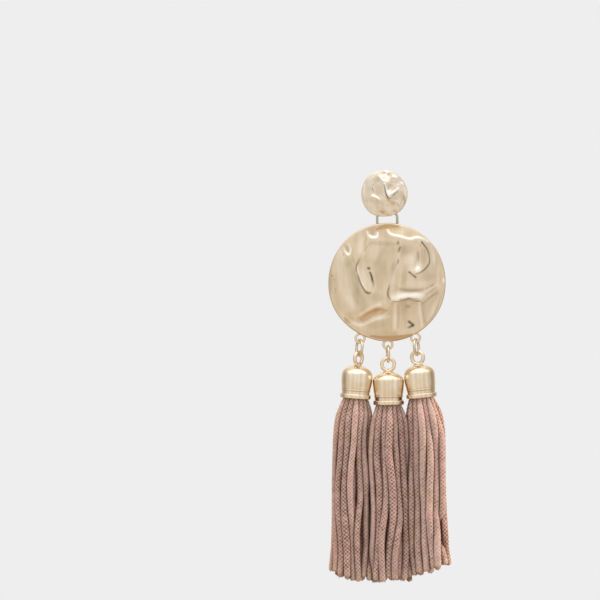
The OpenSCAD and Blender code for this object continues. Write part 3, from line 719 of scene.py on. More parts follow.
# Large disc, with the same tables
disc = {"diameter": 31.3, "rimThickness": 1.0, "rise": 1.5, "relief": 0.95, "hollow": 0.9, "backRelief": 0.25,
        "rings": 138, "sectors": 560, "backRings": 20, "gap": 1.6, "shift": 0.45,
        "waves": [(2, 0.004, -90), (3, 0.003, -126), (4, 0.002, 0), (5, 0.002, -167), (6, 0.002, -95)]}
discRelief = {
    "blur": 0.016, "lightness": 0.5,
    "folds": [
        [0.34, 0.2, 0.05, [[-0.4, 0.46], [-0.49, 0.36], [-0.53, 0.22], [-0.5, 0.1], [-0.43, -0.07], [-0.3, -0.19]]],
        [-0.3, 0.05, 0.18, [[-0.31, 0.26], [-0.29, 0.14], [-0.25, 0.02], [-0.24, -0.05]]],
        [0.34, 0.18, 0.08, [[0.19, 0.68], [0.22, 0.58], [0.19, 0.35], [0.14, 0.18], [0.05, 0.0], [0.0, -0.18],
                            [0.04, -0.3]]],
        [0.36, 0.1, 0.06, [[0.06, -0.33], [0.18, -0.335], [0.29, -0.305], [0.36, -0.28], [0.47, -0.325],
                           [0.58, -0.33]]],
        [-0.24, 0.13, 0.08, [[0.22, -0.12], [0.37, -0.16], [0.56, -0.145], [0.69, -0.11], [0.84, -0.03]]],
        [0.38, 0.07, 0.14, [[0.59, 0.67], [0.66, 0.58], [0.715, 0.45], [0.72, 0.33], [0.66, 0.22], [0.57, 0.155],
                            [0.48, 0.13]]],
        [-0.3, 0.1, 0.06, [[0.55, 0.6], [0.54, 0.4], [0.5, 0.26]]],
        [0.2, 0.12, 0.07, [[0.03, 0.82], [0.1, 0.79], [0.25, 0.755], [0.39, 0.715], [0.54, 0.745], [0.7, 0.67]]],
        [0.36, 0.16, 0.06, [[-0.46, -0.58], [-0.34, -0.51], [-0.23, -0.45], [-0.12, -0.43], [0.0, -0.46]]],
        [0.16, 0.09, 0.07, [[0.13, -0.38], [0.13, -0.6], [0.12, -0.84]]],
        [0.16, 0.07, 0.1, [[0.54, -0.36], [0.57, -0.6], [0.6, -0.76]]],
        [0.2, 0.14, 0.18, [[-0.74, 0.34], [-0.68, 0.0], [-0.58, -0.38]]],
    ],
    "dents": [
        [-0.23, 0.84, 0.13, 0.11, 0, 0.36], [-0.665, 0.56, 0.13, 0.075, 105, 0.32],
        [-0.24, -0.53, 0.24, 0.08, 22, 0.42], [-0.68, -0.64, 0.1, 0.08, 130, 0.3],
        [0.37, -0.58, 0.24, 0.15, 85, 0.28], [0.4, 0.5, 0.24, 0.14, 95, 0.2], [-0.1, 0.25, 0.4, 0.18, 100, 0.26],
        [0.82, -0.42, 0.26, 0.13, 60, 0.22], [0.06, 0.94, 0.22, 0.07, 0, 0.1], [-0.45, 0.74, 0.18, 0.1, 90, 0.14],
        [0.1, -0.93, 0.32, 0.07, 0, 0.18], [0.86, 0.15, 0.2, 0.1, 95, 0.18],
    ],
    "waves": [[0.3, 0.016, 8, 0.4], [0.47, 0.018, 70, 2.0], [0.35, 0.01, 125, 4.0]],
    # dark lines: patina with painted shade
    "creases": [
        [0.014, [[-0.44, 0.44, 0.1], [-0.487, 0.35, 0.6], [-0.525, 0.28, 0.7], [-0.527, 0.2, 0.7],
                 [-0.51, 0.16, 0.1], [-0.494, 0.106, 0.6], [-0.46, 0.0, 0.6], [-0.42, -0.085, 0.65],
                 [-0.375, -0.151, 0.6]]],
        [0.019, [[-0.375, -0.151, 0.55], [-0.33, -0.187, 0.85], [-0.285, -0.178, 0.5]]],
        [0.017, [[-0.29, 0.165, 0.8], [-0.262, 0.1, 0.95], [-0.252, 0.036, 0.95], [-0.238, -0.02, 0.4],
                 [-0.242, -0.1, 0.12]]],
        [0.027, [[-0.311, 0.236, 0.8], [-0.307, 0.234, 0.8]]],
        [0.018, [[0.19, 0.668, 0.6], [0.19, 0.645, 0.6]]],
        [0.015, [[0.225, 0.585, 0.6], [0.205, 0.53, 0.7], [0.196, 0.5, 0.1], [0.192, 0.39, 0.1], [0.188, 0.36, 0.7],
                 [0.186, 0.33, 0.6], [0.16, 0.28, 0.15], [0.09, 0.1, 0.12], [0.04, -0.05, 0.3], [0.03, -0.09, 0.6],
                 [0.004, -0.17, 0.65], [0.008, -0.23, 0.7], [0.04, -0.295, 0.45]]],
        [0.01, [[0.085, -0.333, 0.45], [0.18, -0.335, 0.5], [0.25, -0.325, 0.35], [0.355, -0.315, 0.15],
                [0.43, -0.322, 0.4], [0.5, -0.33, 0.8], [0.558, -0.329, 0.5]]],
        [0.016, [[0.225, -0.305, 0.45], [0.3, -0.303, 0.5], [0.355, -0.279, 0.75], [0.4, -0.292, 0.5],
                 [0.52, -0.302, 0.3]]],
        [0.03, [[0.237, -0.125, 0.3], [0.37, -0.158, 0.34], [0.56, -0.145, 0.3], [0.63, -0.125, 0.15]]],
        [0.015, [[0.66, -0.118, 0.3], [0.69, -0.11, 0.35], [0.72, -0.095, 0.15], [0.749, -0.078, 0.5],
                 [0.808, -0.047, 0.2]]],
        [0.024, [[0.66, -0.22, 0.2], [0.773, -0.144, 0.28], [0.84, -0.1, 0.1]]],
        [0.018, [[0.59, -0.37, 0.28], [0.704, -0.291, 0.3], [0.773, -0.235, 0.3], [0.864, -0.193, 0.2]]],
        [0.014, [[0.59, 0.668, 0.95], [0.64, 0.606, 0.8], [0.689, 0.536, 0.7], [0.716, 0.452, 0.6],
                 [0.723, 0.362, 0.6], [0.716, 0.299, 0.7], [0.654, 0.222, 0.75], [0.598, 0.174, 0.7],
                 [0.549, 0.146, 0.5], [0.487, 0.132, 0.35]]],
        [0.016, [[0.376, 0.163, 0.8], [0.417, 0.125, 0.6], [0.482, 0.076, 0.7]]],
        [0.02, [[0.535, 0.49, 0.3], [0.532, 0.42, 0.4], [0.538, 0.33, 0.15]]],
        [0.012, [[0.567, 0.62, 0.3], [0.566, 0.595, 0.35]]],
        [0.012, [[0.59, 0.56, 0.12], [0.585, 0.44, 0.22], [0.58, 0.32, 0.1]]],
        [0.012, [[0.64, 0.54, 0.12], [0.635, 0.42, 0.2], [0.62, 0.32, 0.1]]],
        [0.02, [[0.362, -0.674, 0.9], [0.4, -0.705, 0.8], [0.442, -0.733, 1.0], [0.4, -0.75, 0.9],
                [0.352, -0.771, 0.5]]],
        [0.022, [[0.41, -0.728, 0.8], [0.43, -0.732, 0.9]]],
        [0.03, [[0.33, -0.414, 0.3], [0.36, -0.418, 0.3]]],
        [0.013, [[0.592, -0.388, 0.2], [0.6, -0.55, 0.22], [0.641, -0.702, 0.2]]],
        [0.013, [[0.2, -0.4, 0.12], [0.185, -0.6, 0.2], [0.175, -0.77, 0.12]]],
        [0.012, [[-0.34, 0.8, 0.15], [-0.342, 0.71, 0.28]]],
        [0.014, [[-0.737, 0.475, 0.3], [-0.733, 0.47, 0.3]]],
        [0.014, [[-0.933, 0.125, 0.4], [-0.933, 0.11, 0.4]]],
        [0.012, [[-0.908, 0.055, 0.4], [-0.908, 0.045, 0.4]]],
        [0.01, [[-0.59, 0.433, 0.1], [-0.549, 0.322, 0.22], [-0.54, 0.25, 0.1]]],
        [0.012, [[-0.43, 0.46, 0.12], [-0.34, 0.586, 0.2], [-0.28, 0.65, 0.12]]],
        [0.012, [[-0.877, -0.1, 0.2], [-0.875, -0.17, 0.25]]],
        [0.014, [[0.905, -0.26, 0.1], [0.84, -0.45, 0.28], [0.77, -0.59, 0.3], [0.67, -0.7, 0.1]]],
    ],
    # bright crests: raised, and with a painted highlight
    "crests": [
        [0.02, [[0.015, 0.88, 0.4], [0.03, 0.82, 1.0], [0.09, 0.787, 0.9], [0.25, 0.755, 0.8], [0.361, 0.72, 1.0],
                [0.417, 0.714, 1.0], [0.473, 0.738, 0.8], [0.549, 0.745, 0.8], [0.62, 0.72, 0.6],
                [0.695, 0.675, 0.7]]],
        [0.02, [[-0.327, 0.858, 0.6], [-0.313, 0.802, 0.8], [-0.271, 0.76, 1.0], [-0.215, 0.746, 1.0],
                [-0.16, 0.757, 1.0], [-0.152, 0.82, 0.7]]],
        [0.016, [[-0.735, 0.6, 0.3], [-0.71, 0.531, 0.8], [-0.654, 0.454, 1.0], [-0.619, 0.503, 0.8],
                 [-0.612, 0.572, 0.8], [-0.633, 0.628, 0.5], [-0.655, 0.66, 0.3]]],
        [0.04, [[0.08, -0.27, 0.3], [0.2, -0.26, 0.4], [0.279, -0.235, 0.8], [0.36, -0.235, 0.5],
                [0.488, -0.23, 0.75], [0.6, -0.25, 0.3]]],
        [0.03, [[0.515, 0.245, 0.4], [0.528, 0.226, 0.9], [0.5, 0.19, 0.4]]],
        [0.016, [[0.2, 0.47, 0.35], [0.2, 0.36, 0.3], [0.175, 0.28, 0.4], [0.124, 0.188, 0.4], [0.055, -0.02, 0.4],
                 [0.045, -0.1, 0.4]]],
        [0.014, [[-0.505, 0.27, 0.35], [-0.5, 0.2, 0.35], [-0.465, 0.09, 0.3], [-0.43, -0.02, 0.35],
                 [-0.36, -0.12, 0.3]]],
        [0.024, [[-0.46, -0.545, 0.35], [-0.35, -0.475, 0.4], [-0.24, -0.41, 0.4], [-0.12, -0.385, 0.3]]],
        [0.026, [[0.13, -0.39, 0.3], [0.13, -0.6, 0.4], [0.12, -0.78, 0.3]]],
        [0.026, [[0.54, -0.37, 0.3], [0.55, -0.55, 0.4], [0.58, -0.74, 0.3]]],
        [0.026, [[-0.7, -0.6, 0.1], [-0.59, -0.69, 0.35], [-0.45, -0.745, 0.45], [-0.31, -0.685, 0.4],
                 [-0.16, -0.615, 0.35], [0.02, -0.58, 0.25]]],
        [0.02, [[0.96, 0.03, 0.9], [0.962, 0.0, 0.8]]],
        [0.02, [[0.75, 0.6, 0.2], [0.79, 0.45, 0.35], [0.79, 0.32, 0.2]]],
        [0.014, [[-0.13, 0.88, 0.5], [-0.145, 0.91, 0.4]]],
    ],
    # painted reflections: patches painted lighter and darker
    "paintedReflectionPatches": [
        [-0.8, 0.36, 0.26, 0.07, 88, 0.12], [-0.72, -0.08, 0.3, 0.08, 100, 0.12],
        [-0.62, -0.32, 0.14, 0.06, 110, 0.1], [-0.46, 0.66, 0.2, 0.06, 90, 0.12],
        [-0.365, 0.62, 0.12, 0.035, 90, -0.12], [-0.65, 0.37, 0.12, 0.09, 60, -0.14],
        [-0.56, 0.08, 0.26, 0.06, 105, -0.16], [-0.48, -0.26, 0.24, 0.1, 110, -0.18],
        [-0.2, -0.26, 0.14, 0.08, 0, -0.14], [-0.38, 0.02, 0.26, 0.07, 115, 0.18],
        [-0.21, 0.5, 0.16, 0.08, 80, 0.14], [-0.12, 0.42, 0.22, 0.05, 60, -0.1],
        [-0.08, 0.655, 0.26, 0.045, -4, -0.16], [-0.24, 0.81, 0.06, 0.05, 0, -0.16],
        [-0.04, 0.8, 0.07, 0.07, 90, -0.08], [-0.1, 0.1, 0.22, 0.1, 80, -0.08], [0.1, 0.42, 0.24, 0.06, 90, -0.12],
        [0.05, 0.14, 0.2, 0.05, 70, -0.12], [0.32, 0.55, 0.16, 0.08, 0, -0.14], [0.36, 0.37, 0.12, 0.08, 0, 0.16],
        [0.48, 0.24, 0.12, 0.1, 20, 0.14], [0.63, 0.42, 0.2, 0.07, 90, -0.18], [0.29, 0.08, 0.16, 0.05, 80, -0.14],
        [0.66, 0.06, 0.18, 0.06, 15, -0.1], [0.14, -0.1, 0.22, 0.04, 80, -0.1], [0.14, -0.24, 0.12, 0.07, 20, 0.16],
        [0.42, -0.22, 0.26, 0.05, 0, 0.1], [0.42, -0.15, 0.26, 0.045, -2, -0.12],
        [0.72, -0.24, 0.22, 0.035, 32, -0.08], [0.5, -0.03, 0.24, 0.06, 5, 0.06],
        [0.28, -0.6, 0.22, 0.1, 85, -0.12], [0.72, -0.52, 0.2, 0.08, 60, 0.04], [0.0, -0.7, 0.24, 0.09, 85, -0.1],
        [-0.22, -0.72, 0.22, 0.08, 10, -0.14], [-0.44, -0.74, 0.18, 0.05, -20, 0.1],
        [-0.52, -0.5, 0.18, 0.05, 10, -0.08], [-0.05, -0.36, 0.2, 0.05, 5, 0.08],
        [-0.96, 0.05, 0.3, 0.025, 90, -0.2], [0.93, 0.1, 0.24, 0.03, 95, -0.06],
        [0.28, 0.84, 0.28, 0.05, -16, -0.18], [0.0, -0.945, 0.05, 0.03, 0, 0.3], [0.12, -0.94, 0.03, 0.03, 0, -0.3],
        [-0.24, -0.91, 0.06, 0.02, 0, -0.3], [-0.66, 0.56, 0.07, 0.035, 105, -0.16],
        [-0.03, 0.28, 0.2, 0.07, 85, -0.06], [0.66, 0.1, 0.6, 0.24, 90, 0.1], [0.2, -0.7, 0.5, 0.2, 0, 0.07],
    ],
    # painted warm reflection on folds that face down
    "paintedWarmReflection": [
        [0.58, [[-0.43, -0.625, 0.045], [-0.36, -0.585, 0.065], [-0.27, -0.525, 0.058], [-0.15, -0.495, 0.065],
                [-0.05, -0.485, 0.045], [-0.01, -0.475, 0.012]]],
        [0.7, [[-0.72, -0.6, 0.02], [-0.69, -0.645, 0.045], [-0.65, -0.68, 0.02]]],
        [1.0, [[-0.3, -0.91, 0.012], [-0.2, -0.925, 0.025], [0.05, -0.945, 0.045], [0.28, -0.925, 0.04],
               [0.41, -0.885, 0.012]]],
        [1.0, [[-0.16, 0.895, 0.02], [-0.05, 0.93, 0.045], [0.08, 0.94, 0.045], [0.2, 0.93, 0.02]]],
        [0.3, [[-0.3, 0.88, 0.03], [-0.15, 0.9, 0.05], [0.1, 0.91, 0.06], [0.22, 0.89, 0.03]]],
        [0.16, [[-0.87, 0.17, 0.02], [-0.87, -0.09, 0.03]]],
        [0.12, [[-0.12, 0.3, 0.05], [-0.14, 0.05, 0.08], [-0.12, -0.1, 0.05]]],
    ],
}

# Loops under the disc, of round wire: sizes in millimetres, and the step from one to the next in degrees
loops = {"hole": 1.7, "wire": 0.65, "step": 26.4, "steps": 64}
studRadius = stud["diameter"] / 2
discRadius = disc["diameter"] / 2
topRun = lugs["inset"] - studRadius
discHeight = -(studRadius + disc["gap"] + discRadius)
lowRun = discHeight + discRadius - lugs["inset"]
loopRadius = (loops["hole"] + loops["wire"]) / 2
loopReach = discRadius + loops["hole"] / 2
loopDepth = -disc["rimThickness"] * hammering["rimLeft"] / 2
loopOut = loopReach * math.sin(math.radians(loops["step"]))


# The middle of a loop: on a circle round the disc's middle, a step along from its neighbour
def loopPlace(side):
    down = discHeight - loopReach * math.cos(math.radians(side * loops["step"]))
    return np.array([disc["shift"] + side * loopOut, loopDepth, down])


# A ring of round wire that faces the front: a circle in the XZ plane, open by its cut at the top, where x is
# the radius times the sine of the angle and z the radius times its cosine
def wireRing(radius, wire, cut=0.0, steps=72, sides=20):
    half = cut / (2 * radius)
    angles = np.linspace(half, 2 * np.pi - half, steps + 1)
    if cut == 0:
        angles = angles[:-1]
    path = np.stack([radius * np.sin(angles), np.zeros(len(angles)), radius * np.cos(angles)], -1)
    return sweepTube(path, np.full(len(path), wire / 2), sides, (0, 1, 0), loop=cut == 0)


def makeStud():
    shapes = [hammeredSkin(stud, studRelief)] + [{**s, "tone": plate["wireTone"]} for s in lugShape(topRun)]
    makePiece("hammeredStud", joinShapes(shapes), "stud", "stud_disc", studGold, sharpAngle=75)


def makeDisc():
    skin = movedShape(hammeredSkin(disc, discRelief), lambda p: p + [disc["shift"], 0, discHeight])
    wires = lugShape(lowRun)
    for side in (-1, 0, 1):
        loop = wireRing(loopRadius, loops["wire"], steps=loops["steps"])
        wires.append(movedShape(loop, lambda p: p + loopPlace(side)))
    shapes = [skin] + [{**s, "tone": plate["wireTone"]} for s in wires]
    makePiece("hammeredDisc", joinShapes(shapes), "drop", "main_disc", discGold, sharpAngle=75)


# Ear post: a revolved outline of a thin pad and a straight pin with a rounded tip, turned to point back
post = {"diameter": 0.8, "length": 10.5, "pad": 4.0, "padThickness": 0.4, "seat": 0.05, "sides": 48,
        # the pad's edge, in from its radius and up from its back or down from its front
        "padEdge": {"in": 0.1, "back": 0.08, "front": 0.12},
        # the fillet at the pin's foot, out from its radius and up from the pad
        "fillet": [[0.25, 0.0], [0.06, 0.08], [0.0, 0.3]]}


def makePost():
    r, pad, top = post["diameter"] / 2, post["pad"] / 2, post["padThickness"]
    tip = top + post["length"]
    edge = post["padEdge"]
    outline = [[0, 0], [pad - edge["in"], 0], [pad, edge["back"]], [pad, top - edge["front"]],
               [pad - edge["in"], top]]
    outline += [[r + out, top + up] for out, up in post["fillet"]]
    outline += [[r * math.cos(a), tip + r * math.sin(a)] for a in np.linspace(0, np.pi / 2, 10)[:-1]]
    outline.append([0, tip + r])
    shape = movedShape(revolve(outline, post["sides"]), lambda p: turned(p, "x", -90) + [0, post["seat"], 0])
    makePiece("earPost", joinShapes([shape]), "stud", "ear_post", wireGold)


# Link: one wire bent to a rounded rectangle in the XZ plane, a quarter circle at each corner
link = {"width": 5.3, "bend": 1.2, "bendPoints": 13, "sides": 20}


def makeLink():
    halfWide, halfTall, bend = link["width"] / 2, (topRun - lowRun) / 2, link["bend"]
    path = []
    for corner, (cx, cz) in enumerate([(1, 1), (-1, 1), (-1, -1), (1, -1)]):
        angles = np.radians(90 * corner) + np.linspace(0, np.pi / 2, link["bendPoints"])
        path.append(np.stack([cx * (halfWide - bend) + bend * np.cos(angles), np.zeros(len(angles)),
                              cz * (halfTall - bend) + bend * np.sin(angles)], -1))
    path = np.vstack(path) + [lugs["shift"], lugDepth, (topRun + lowRun) / 2]
    shape = sweepTube(path, np.full(len(path), lugs["wire"] / 2), link["sides"], (0, 1, 0), loop=True)
    makePiece("hingeLink", joinShapes([shape]), "link", "hinge_link", shadedHingeWire)


makeStud()
makeDisc()
makePost()
makeLink()

# Jump rings of round wire, each through a loop and a cap's eye, turned by some degrees from edge on
rings = {"diameter": 4.9, "wire": 0.75, "cut": 0.1, "seat": 0.05, "turns": {-1: 20, 0: 4, 1: -18}}

# Caps: bell castings with an eye, each hanging in a jump ring. The outer two are held a little outwards by
# the one between them.
caps = {
    "diameter": 8.3, "height": 8.9, "dome": 2.8, "waist": 7.5, "bead": 8.3, "beadHeight": 1.2, "wall": 0.55,
    "eye": 4.3, "eyeWire": 1.0, "eyeSink": 0.35, "gap": 0.1, "turns": {-1: 54, 0: 0, 1: -27}, "sides": 96,
    "beadPower": 0.4,  # a bead with a flatter face than a half circle's
    "lip": 0.1,        # the bevel inside the mouth
    # the neck in shares of the eye's wire: thinnest, flare at the foot and its power, and how far up it reaches
    "neck": (0.78, 0.75, 2.4), "neckUp": 0.6, "neckSink": 0.28, "neckSides": 40,
    # patina in the turned grooves: their places from the shoulder to the mouth, half width, strength and most
    "grooves": (0.745, 0.84, 0.985), "grooveWidth": 0.07, "grooveShare": 0.55, "grooveMost": 0.8,
    # share of the way down from the shoulder to the bead, share of the way from waist to shoulder
    "outline": [[0.20, 0.97], [0.42, 0.82], [0.62, 0.52], [0.72, 0.26], [0.745, 0.20], [0.76, 0.32], [0.79, 0.37],
                [0.82, 0.30], [0.835, 0.12], [0.86, 0.06], [0.93, 0.02]],
}
ringRadius = (rings["diameter"] - rings["wire"]) / 2
ringDrop = ringRadius + loops["hole"] / 2 - rings["wire"] / 2 - rings["seat"]
eyeDrop = ringDrop + ringRadius - rings["wire"] / 2 - caps["eyeWire"] - rings["seat"] + caps["eye"] / 2
domeDrop = eyeDrop + caps["eye"] / 2 - caps["eyeSink"]
mouthDrop = domeDrop + caps["height"]
loopRise = loopReach * (1 - math.cos(math.radians(loops["step"])))
splay = math.degrees(math.atan(
    max(0.0, caps["diameter"] + caps["gap"] - loopOut) / (domeDrop + caps["dome"] + loopRise)))


# Points hung below their loop, leaning outwards with their cap
def hung(points, side, drop):
    return turned(np.asarray(points) - [0, 0, drop], "y", -side * splay) + loopPlace(side)


def makeRing(side, word):
    ring = wireRing(ringRadius, rings["wire"], rings["cut"])
    ring = movedShape(ring, lambda p: turned(turned(p, "y", 90), "z", 90 + rings["turns"][side]))
    ring = movedShape(ring, lambda p: hung(p, side, ringDrop))
    makePiece("jumpRing" + word.capitalize(), joinShapes([ring]), "drop", "jump_ring_" + word,
              wireGold)


# A cap's revolved outline, from the top of its hollow down to the mouth and up over the dome. The hollow's
# top and the dome are quarter ellipses, and the bead is a half circle with a power of its cosine.
def capShell():
    shoulder, waist = caps["diameter"] / 2, caps["waist"] / 2
    mouth = waist - caps["wall"]
    inside = [[mouth * math.sin(a), -caps["dome"] + (caps["dome"] - caps["wall"]) * math.cos(a)]
              for a in np.linspace(0, np.pi / 2, 10)]
    inside += [[mouth, -caps["height"] + caps["lip"]], [mouth + caps["lip"], -caps["height"]]]
    beadHalf, beadOut = caps["beadHeight"] / 2, caps["bead"] / 2 - waist
    bead = [[waist + beadOut * max(0.0, math.cos(a)) ** caps["beadPower"],
             -caps["height"] + beadHalf * (1 + math.sin(a))] for a in np.radians(np.linspace(-88, 90, 15))]
    straight = caps["height"] - caps["beadHeight"] - caps["dome"]
    body = [[waist + (shoulder - waist) * share, -caps["dome"] - straight * down]
            for down, share in reversed(caps["outline"])]
    dome = [[shoulder * math.sin(a), -caps["dome"] * (1 - math.cos(a))] for a in np.linspace(np.pi / 2, 0, 22)]
    shell = revolve(inside + bead + body + dome, caps["sides"])
    down = -shell["points"][:, 2]
    outer = np.hypot(shell["points"][:, 0], shell["points"][:, 1]) > waist - 0.05  # not the hollow
    grooves = sum(np.exp(-((down - (caps["dome"] + straight * place)) / caps["grooveWidth"]) ** 2)
                  for place in caps["grooves"])
    shell["crease"] = np.where(outer, np.clip(caps["grooveShare"] * grooves, 0, caps["grooveMost"]), 0.0)
    return shell


# A cap: its shell, its eye, and between them a neck that flares towards its foot
def makeCap(side, word):
    eyeRadius = (caps["eye"] - caps["eyeWire"]) / 2
    eye = wireRing(eyeRadius, caps["eyeWire"], sides=24)
    eye = movedShape(eye, lambda p: turned(p, "z", caps["turns"][side]) + [0, 0, domeDrop - eyeDrop])
    neckTop, neckSink = caps["eyeWire"] * caps["neckUp"] - caps["eyeSink"], caps["neckSink"]
    thin, flare, power = caps["neck"]
    flank = [[caps["eyeWire"] * (thin + flare * (1 - s) ** power), -neckSink + (neckTop + neckSink) * s]
              for s in np.linspace(0, 1, 8)]
    neck = revolve([[0, -caps["wall"]]] + flank + [[0, neckTop]], caps["neckSides"])
    shapes = [movedShape(s, lambda p: hung(p, side, domeDrop)) for s in (capShell(), eye, neck)]
    makePiece("tasselCap" + word.capitalize(), joinShapes(shapes), "drop", "tassel_cap_" + word,
              capGold)


threeSides = [(-1, "left", 14), (0, "centre", 23), (1, "right", 37)]  # side, word in the names, seed
for side, word, seed in threeSides:
    makeRing(side, word)
    makeCap(side, word)

# Tassels: each a round of knitted cords over a few inner ones, all gathered in the cap's mouth. Sizes are in
# millimetres, and places along a tassel are shares of its length, from the mouth down.
tassels = {
    "length": 46.8, "width": 10.2, "depth": 9.2, "gap": 0.1,
    "cord": 1.78, "mouthCord": 1.22,             # a cord's diameter hanging free, and squeezed in the mouth
    "fullFrom": 0.11, "freeFrom": 0.30,          # places where a cord has its full thickness, and hangs free
    "rounds": [(15, 1.0), (7, 0.56), (1, 0.0)],  # cords in each round, and the round's size
    "headUp": 1.6,                               # how far the cords reach up into the cap
    "rowStep": 0.25, "sides": 20,                # a cord's rings of points: four to a stitch, two to a column
    "columns": 10, "stitch": 1.0, "stitchDepth": 0.06, "opennessSteps": 9,
    "twistSwing": 0.5, "twistPace": 0.05,        # how far and how fast a cord twists, radians and to the millimetre
    "scatter": 0.15, "pace": (0.6, 1.6),         # how unevenly cords stand in their round, and how often they sway
    "turning": 0.24, "drift": 0.36, "sway": 0.40,  # how far they wander: radians, share inwards, millimetres
    "stillSides": 0.7, "swayDepth": 0.6,         # less sideways at a tassel's sides, and less in depth
    "plump": 0.22, "swell": 0.2,                 # how much thickness differs between cords, and along each
    "overlap": 0.8,                              # how far the cords of neighbours reach in between each other
    # height, and how far the tassels reach to the left and right there
    "reach": [[-105, -16.9, 17.3], [-102, -16.8, 17.2], [-99.3, -16.3, 16.75], [-93.5, -15.3, 15.9],
              [-84, -14.95, 15.45], [-75.2, -14.8, 15.25], [-65.1, -14.45, 15.4], [-60.1, -14.0, 15.25],
              [-57.5, -14.0, 15.2], [-50, -20, 20]],
    # covered light at which a cord's shade begins and is full, and how near the cords are that cover it
    "coveredFrom": (0.12, 0.95), "coverReach": 4.0, "coverFade": 3.5,
    "innerDeep": 0.35,                           # how much of that shade the inner cords take
    # how much longer than the length the cords of each tassel hang, from its left side to its right, and how
    # much the scissors left of that unevenly
    "hem": {-1: [[-1, -1.3], [-0.95, -1.0], [-0.6, 0.6], [0, 1.1], [0.5, 1.4], [1, 1.4]], 0: [[-1, 0.4], [1, -0.2]],
            1: [[-1, 0.8], [-0.7, 0.5], [-0.3, 0.0], [0.15, -0.7], [0.55, -1.1], [0.95, -1.7], [1, -1.8]]},
    "hemUneven": 1.5,
    # a cut end: the height over which it rounds off, its rows of points there, the share of the radius left,
    # and the height over which its threads are loose
    "roundEnd": 0.55, "endRows": (0.75, 0.45, 0.2, 0.05, 0.0), "endLeft": 0.50, "fray": 2.6,
    "tone": 0.98, "toneSpread": 0.26,            # lightness of the cords, and how much it differs between them
    "innerTone": 0.90,                           # light seeps in, which keeps the inner cords from going black
    # how much lighter the cords of each tassel are, and the painted light on the right one's outer side and painted
    # shade on the left one's
    "sideTone": {-1: (0.0, -0.06), 0: (0.01, 0.0), 1: (-0.04, 0.05)},
    # near the mouth and near the end the cords are paler, and take less painted shade, each over its own reach
    "palerNearEnds": {"mouth": 0.07, "mouthReach": 16, "end": 0.04, "endReach": 10},
    "lit": {"mouth": 0.50, "mouthReach": 16, "end": 0.25, "endReach": 14},
    "valley": 1.1, "valleyEdge": (0.35, 0.75),   # how far back the left tassel's cords lie beside the centre one
    # place, share of the full width, share of the way out to where the tassel hangs
    "sections": [[-0.04, 0.61, 0.0], [0.0, 0.62, 0.0], [0.01, 0.68, 0.02], [0.035, 0.78, 0.1],
                 [0.08, 0.875, 0.34], [0.13, 0.93, 0.58], [0.19, 0.965, 0.8], [0.28, 0.99, 0.96], [0.4, 1.0, 1.0],
                 [0.55, 1.0, 1.02], [0.7, 1.01, 1.05], [0.84, 1.03, 1.12], [1.0, 1.08, 1.42]],
}
# How the cords settle: the step between the levels that they are laid out on, the lowest of them, the turns,
# how near cords may come in shares of their radii, how far they are pushed apart and drawn back each turn, and
# how often they are smoothed, which is only once in the last turns
settling = {"step": 0.5, "lowest": 105, "turns": 90, "touch": 0.97, "push": 0.32, "pull": 0.03,
            "smoothings": 3, "lastTurns": 10}


# Draws the chance of each cord: its place round the tassel, how it wanders, its tone, its cut and its twist
def drawCords():
    cords = []
    for side, word, seed in threeSides:
        random = np.random.default_rng(seed)
        mouth = hung([[0, 0, 0]], side, mouthDrop)[0]
        for count, share in tassels["rounds"]:
            first = random.uniform(0, 2 * np.pi)
            for k in range(count):
                theta = first + 2 * np.pi * (k + random.uniform(-tassels["scatter"], tassels["scatter"])) / count
                cords.append({"side": side, "mouth": mouth, "share": share, "theta": theta % (2 * np.pi),
                              "phase": random.uniform(0, 2 * np.pi, 4), "pace": random.uniform(*tassels["pace"], 4),
                              "tone": random.uniform(0, 1), "cut": random.uniform(0, 1),
                              "twist": random.uniform(0, 2 * np.pi, 2)})
    return cords


# Where one cord would hang if it were alone, level by level, and its radius there. It starts in its cap's
# mouth and heads for its own place in a round that follows the tassel's width, wandering in slow waves.
def cordAim(c, levels):
    table = np.array(tassels["sections"])
    place = (c["mouth"][2] - levels) / tassels["length"]
    wide, out = [np.interp(place, table[:, 0], table[:, column]) for column in (1, 2)]
    free = smoothStep(0.0, tassels["freeFrom"], place)
    thicker = (tassels["cord"] - tassels["mouthCord"]) * smoothStep(0, tassels["fullFrom"], place)
    wave = [np.sin(2 * np.pi * c["pace"][k] * place + c["phase"][k]) for k in range(4)]
    # some cords are thicker than others, and each swells and thins a little along its length
    swell = 1 + tassels["plump"] * free * (c["cut"] - 0.5 + tassels["swell"] * wave[3])
    radius = (tassels["mouthCord"] + thicker) / 2 * swell
    theta = c["theta"] + tassels["turning"] * free * wave[0]
    sideways = math.cos(c["theta"])
    share = c["share"] * (1 - tassels["drift"] * free * (0.5 + 0.5 * wave[1]) * (1 - abs(sideways)))
    # a cord that faces a neighbouring tassel reaches in between that one's cords
    facing = abs(sideways) if c["side"] == 0 else max(0.0, -c["side"] * sideways)
    # above the mouth a cord follows the cap's own lean
    axis = c["mouth"][0] + c["side"] * math.tan(math.radians(splay)) * (c["mouth"][2] - levels)
    hangAt = disc["shift"] + c["side"] * (tassels["width"] + tassels["gap"])
    middle = np.where(place < 0, axis, c["mouth"][0] + (hangAt - c["mouth"][0]) * out)
    x = middle + (tassels["width"] / 2 * wide - radius) * share * np.cos(theta)
    sway = tassels["sway"] * wave[2] * (1 - tassels["stillSides"] * abs(sideways))
    x += free * (sway + tassels["overlap"] * facing * sideways)
    y = loopDepth + (tassels["depth"] / 2 * wide - radius) * share * np.sin(theta)
    if c["side"] == -1:
        beside = smoothStep(*tassels["valleyEdge"], sideways)
        y = y + tassels["valley"] * free * beside * np.sin(np.pi * np.clip(place, 0, 1)) ** 0.5
    y = y + tassels["swayDepth"] * tassels["sway"] * free * wave[3]
    return np.stack([x, y], -1), radius, place < 0


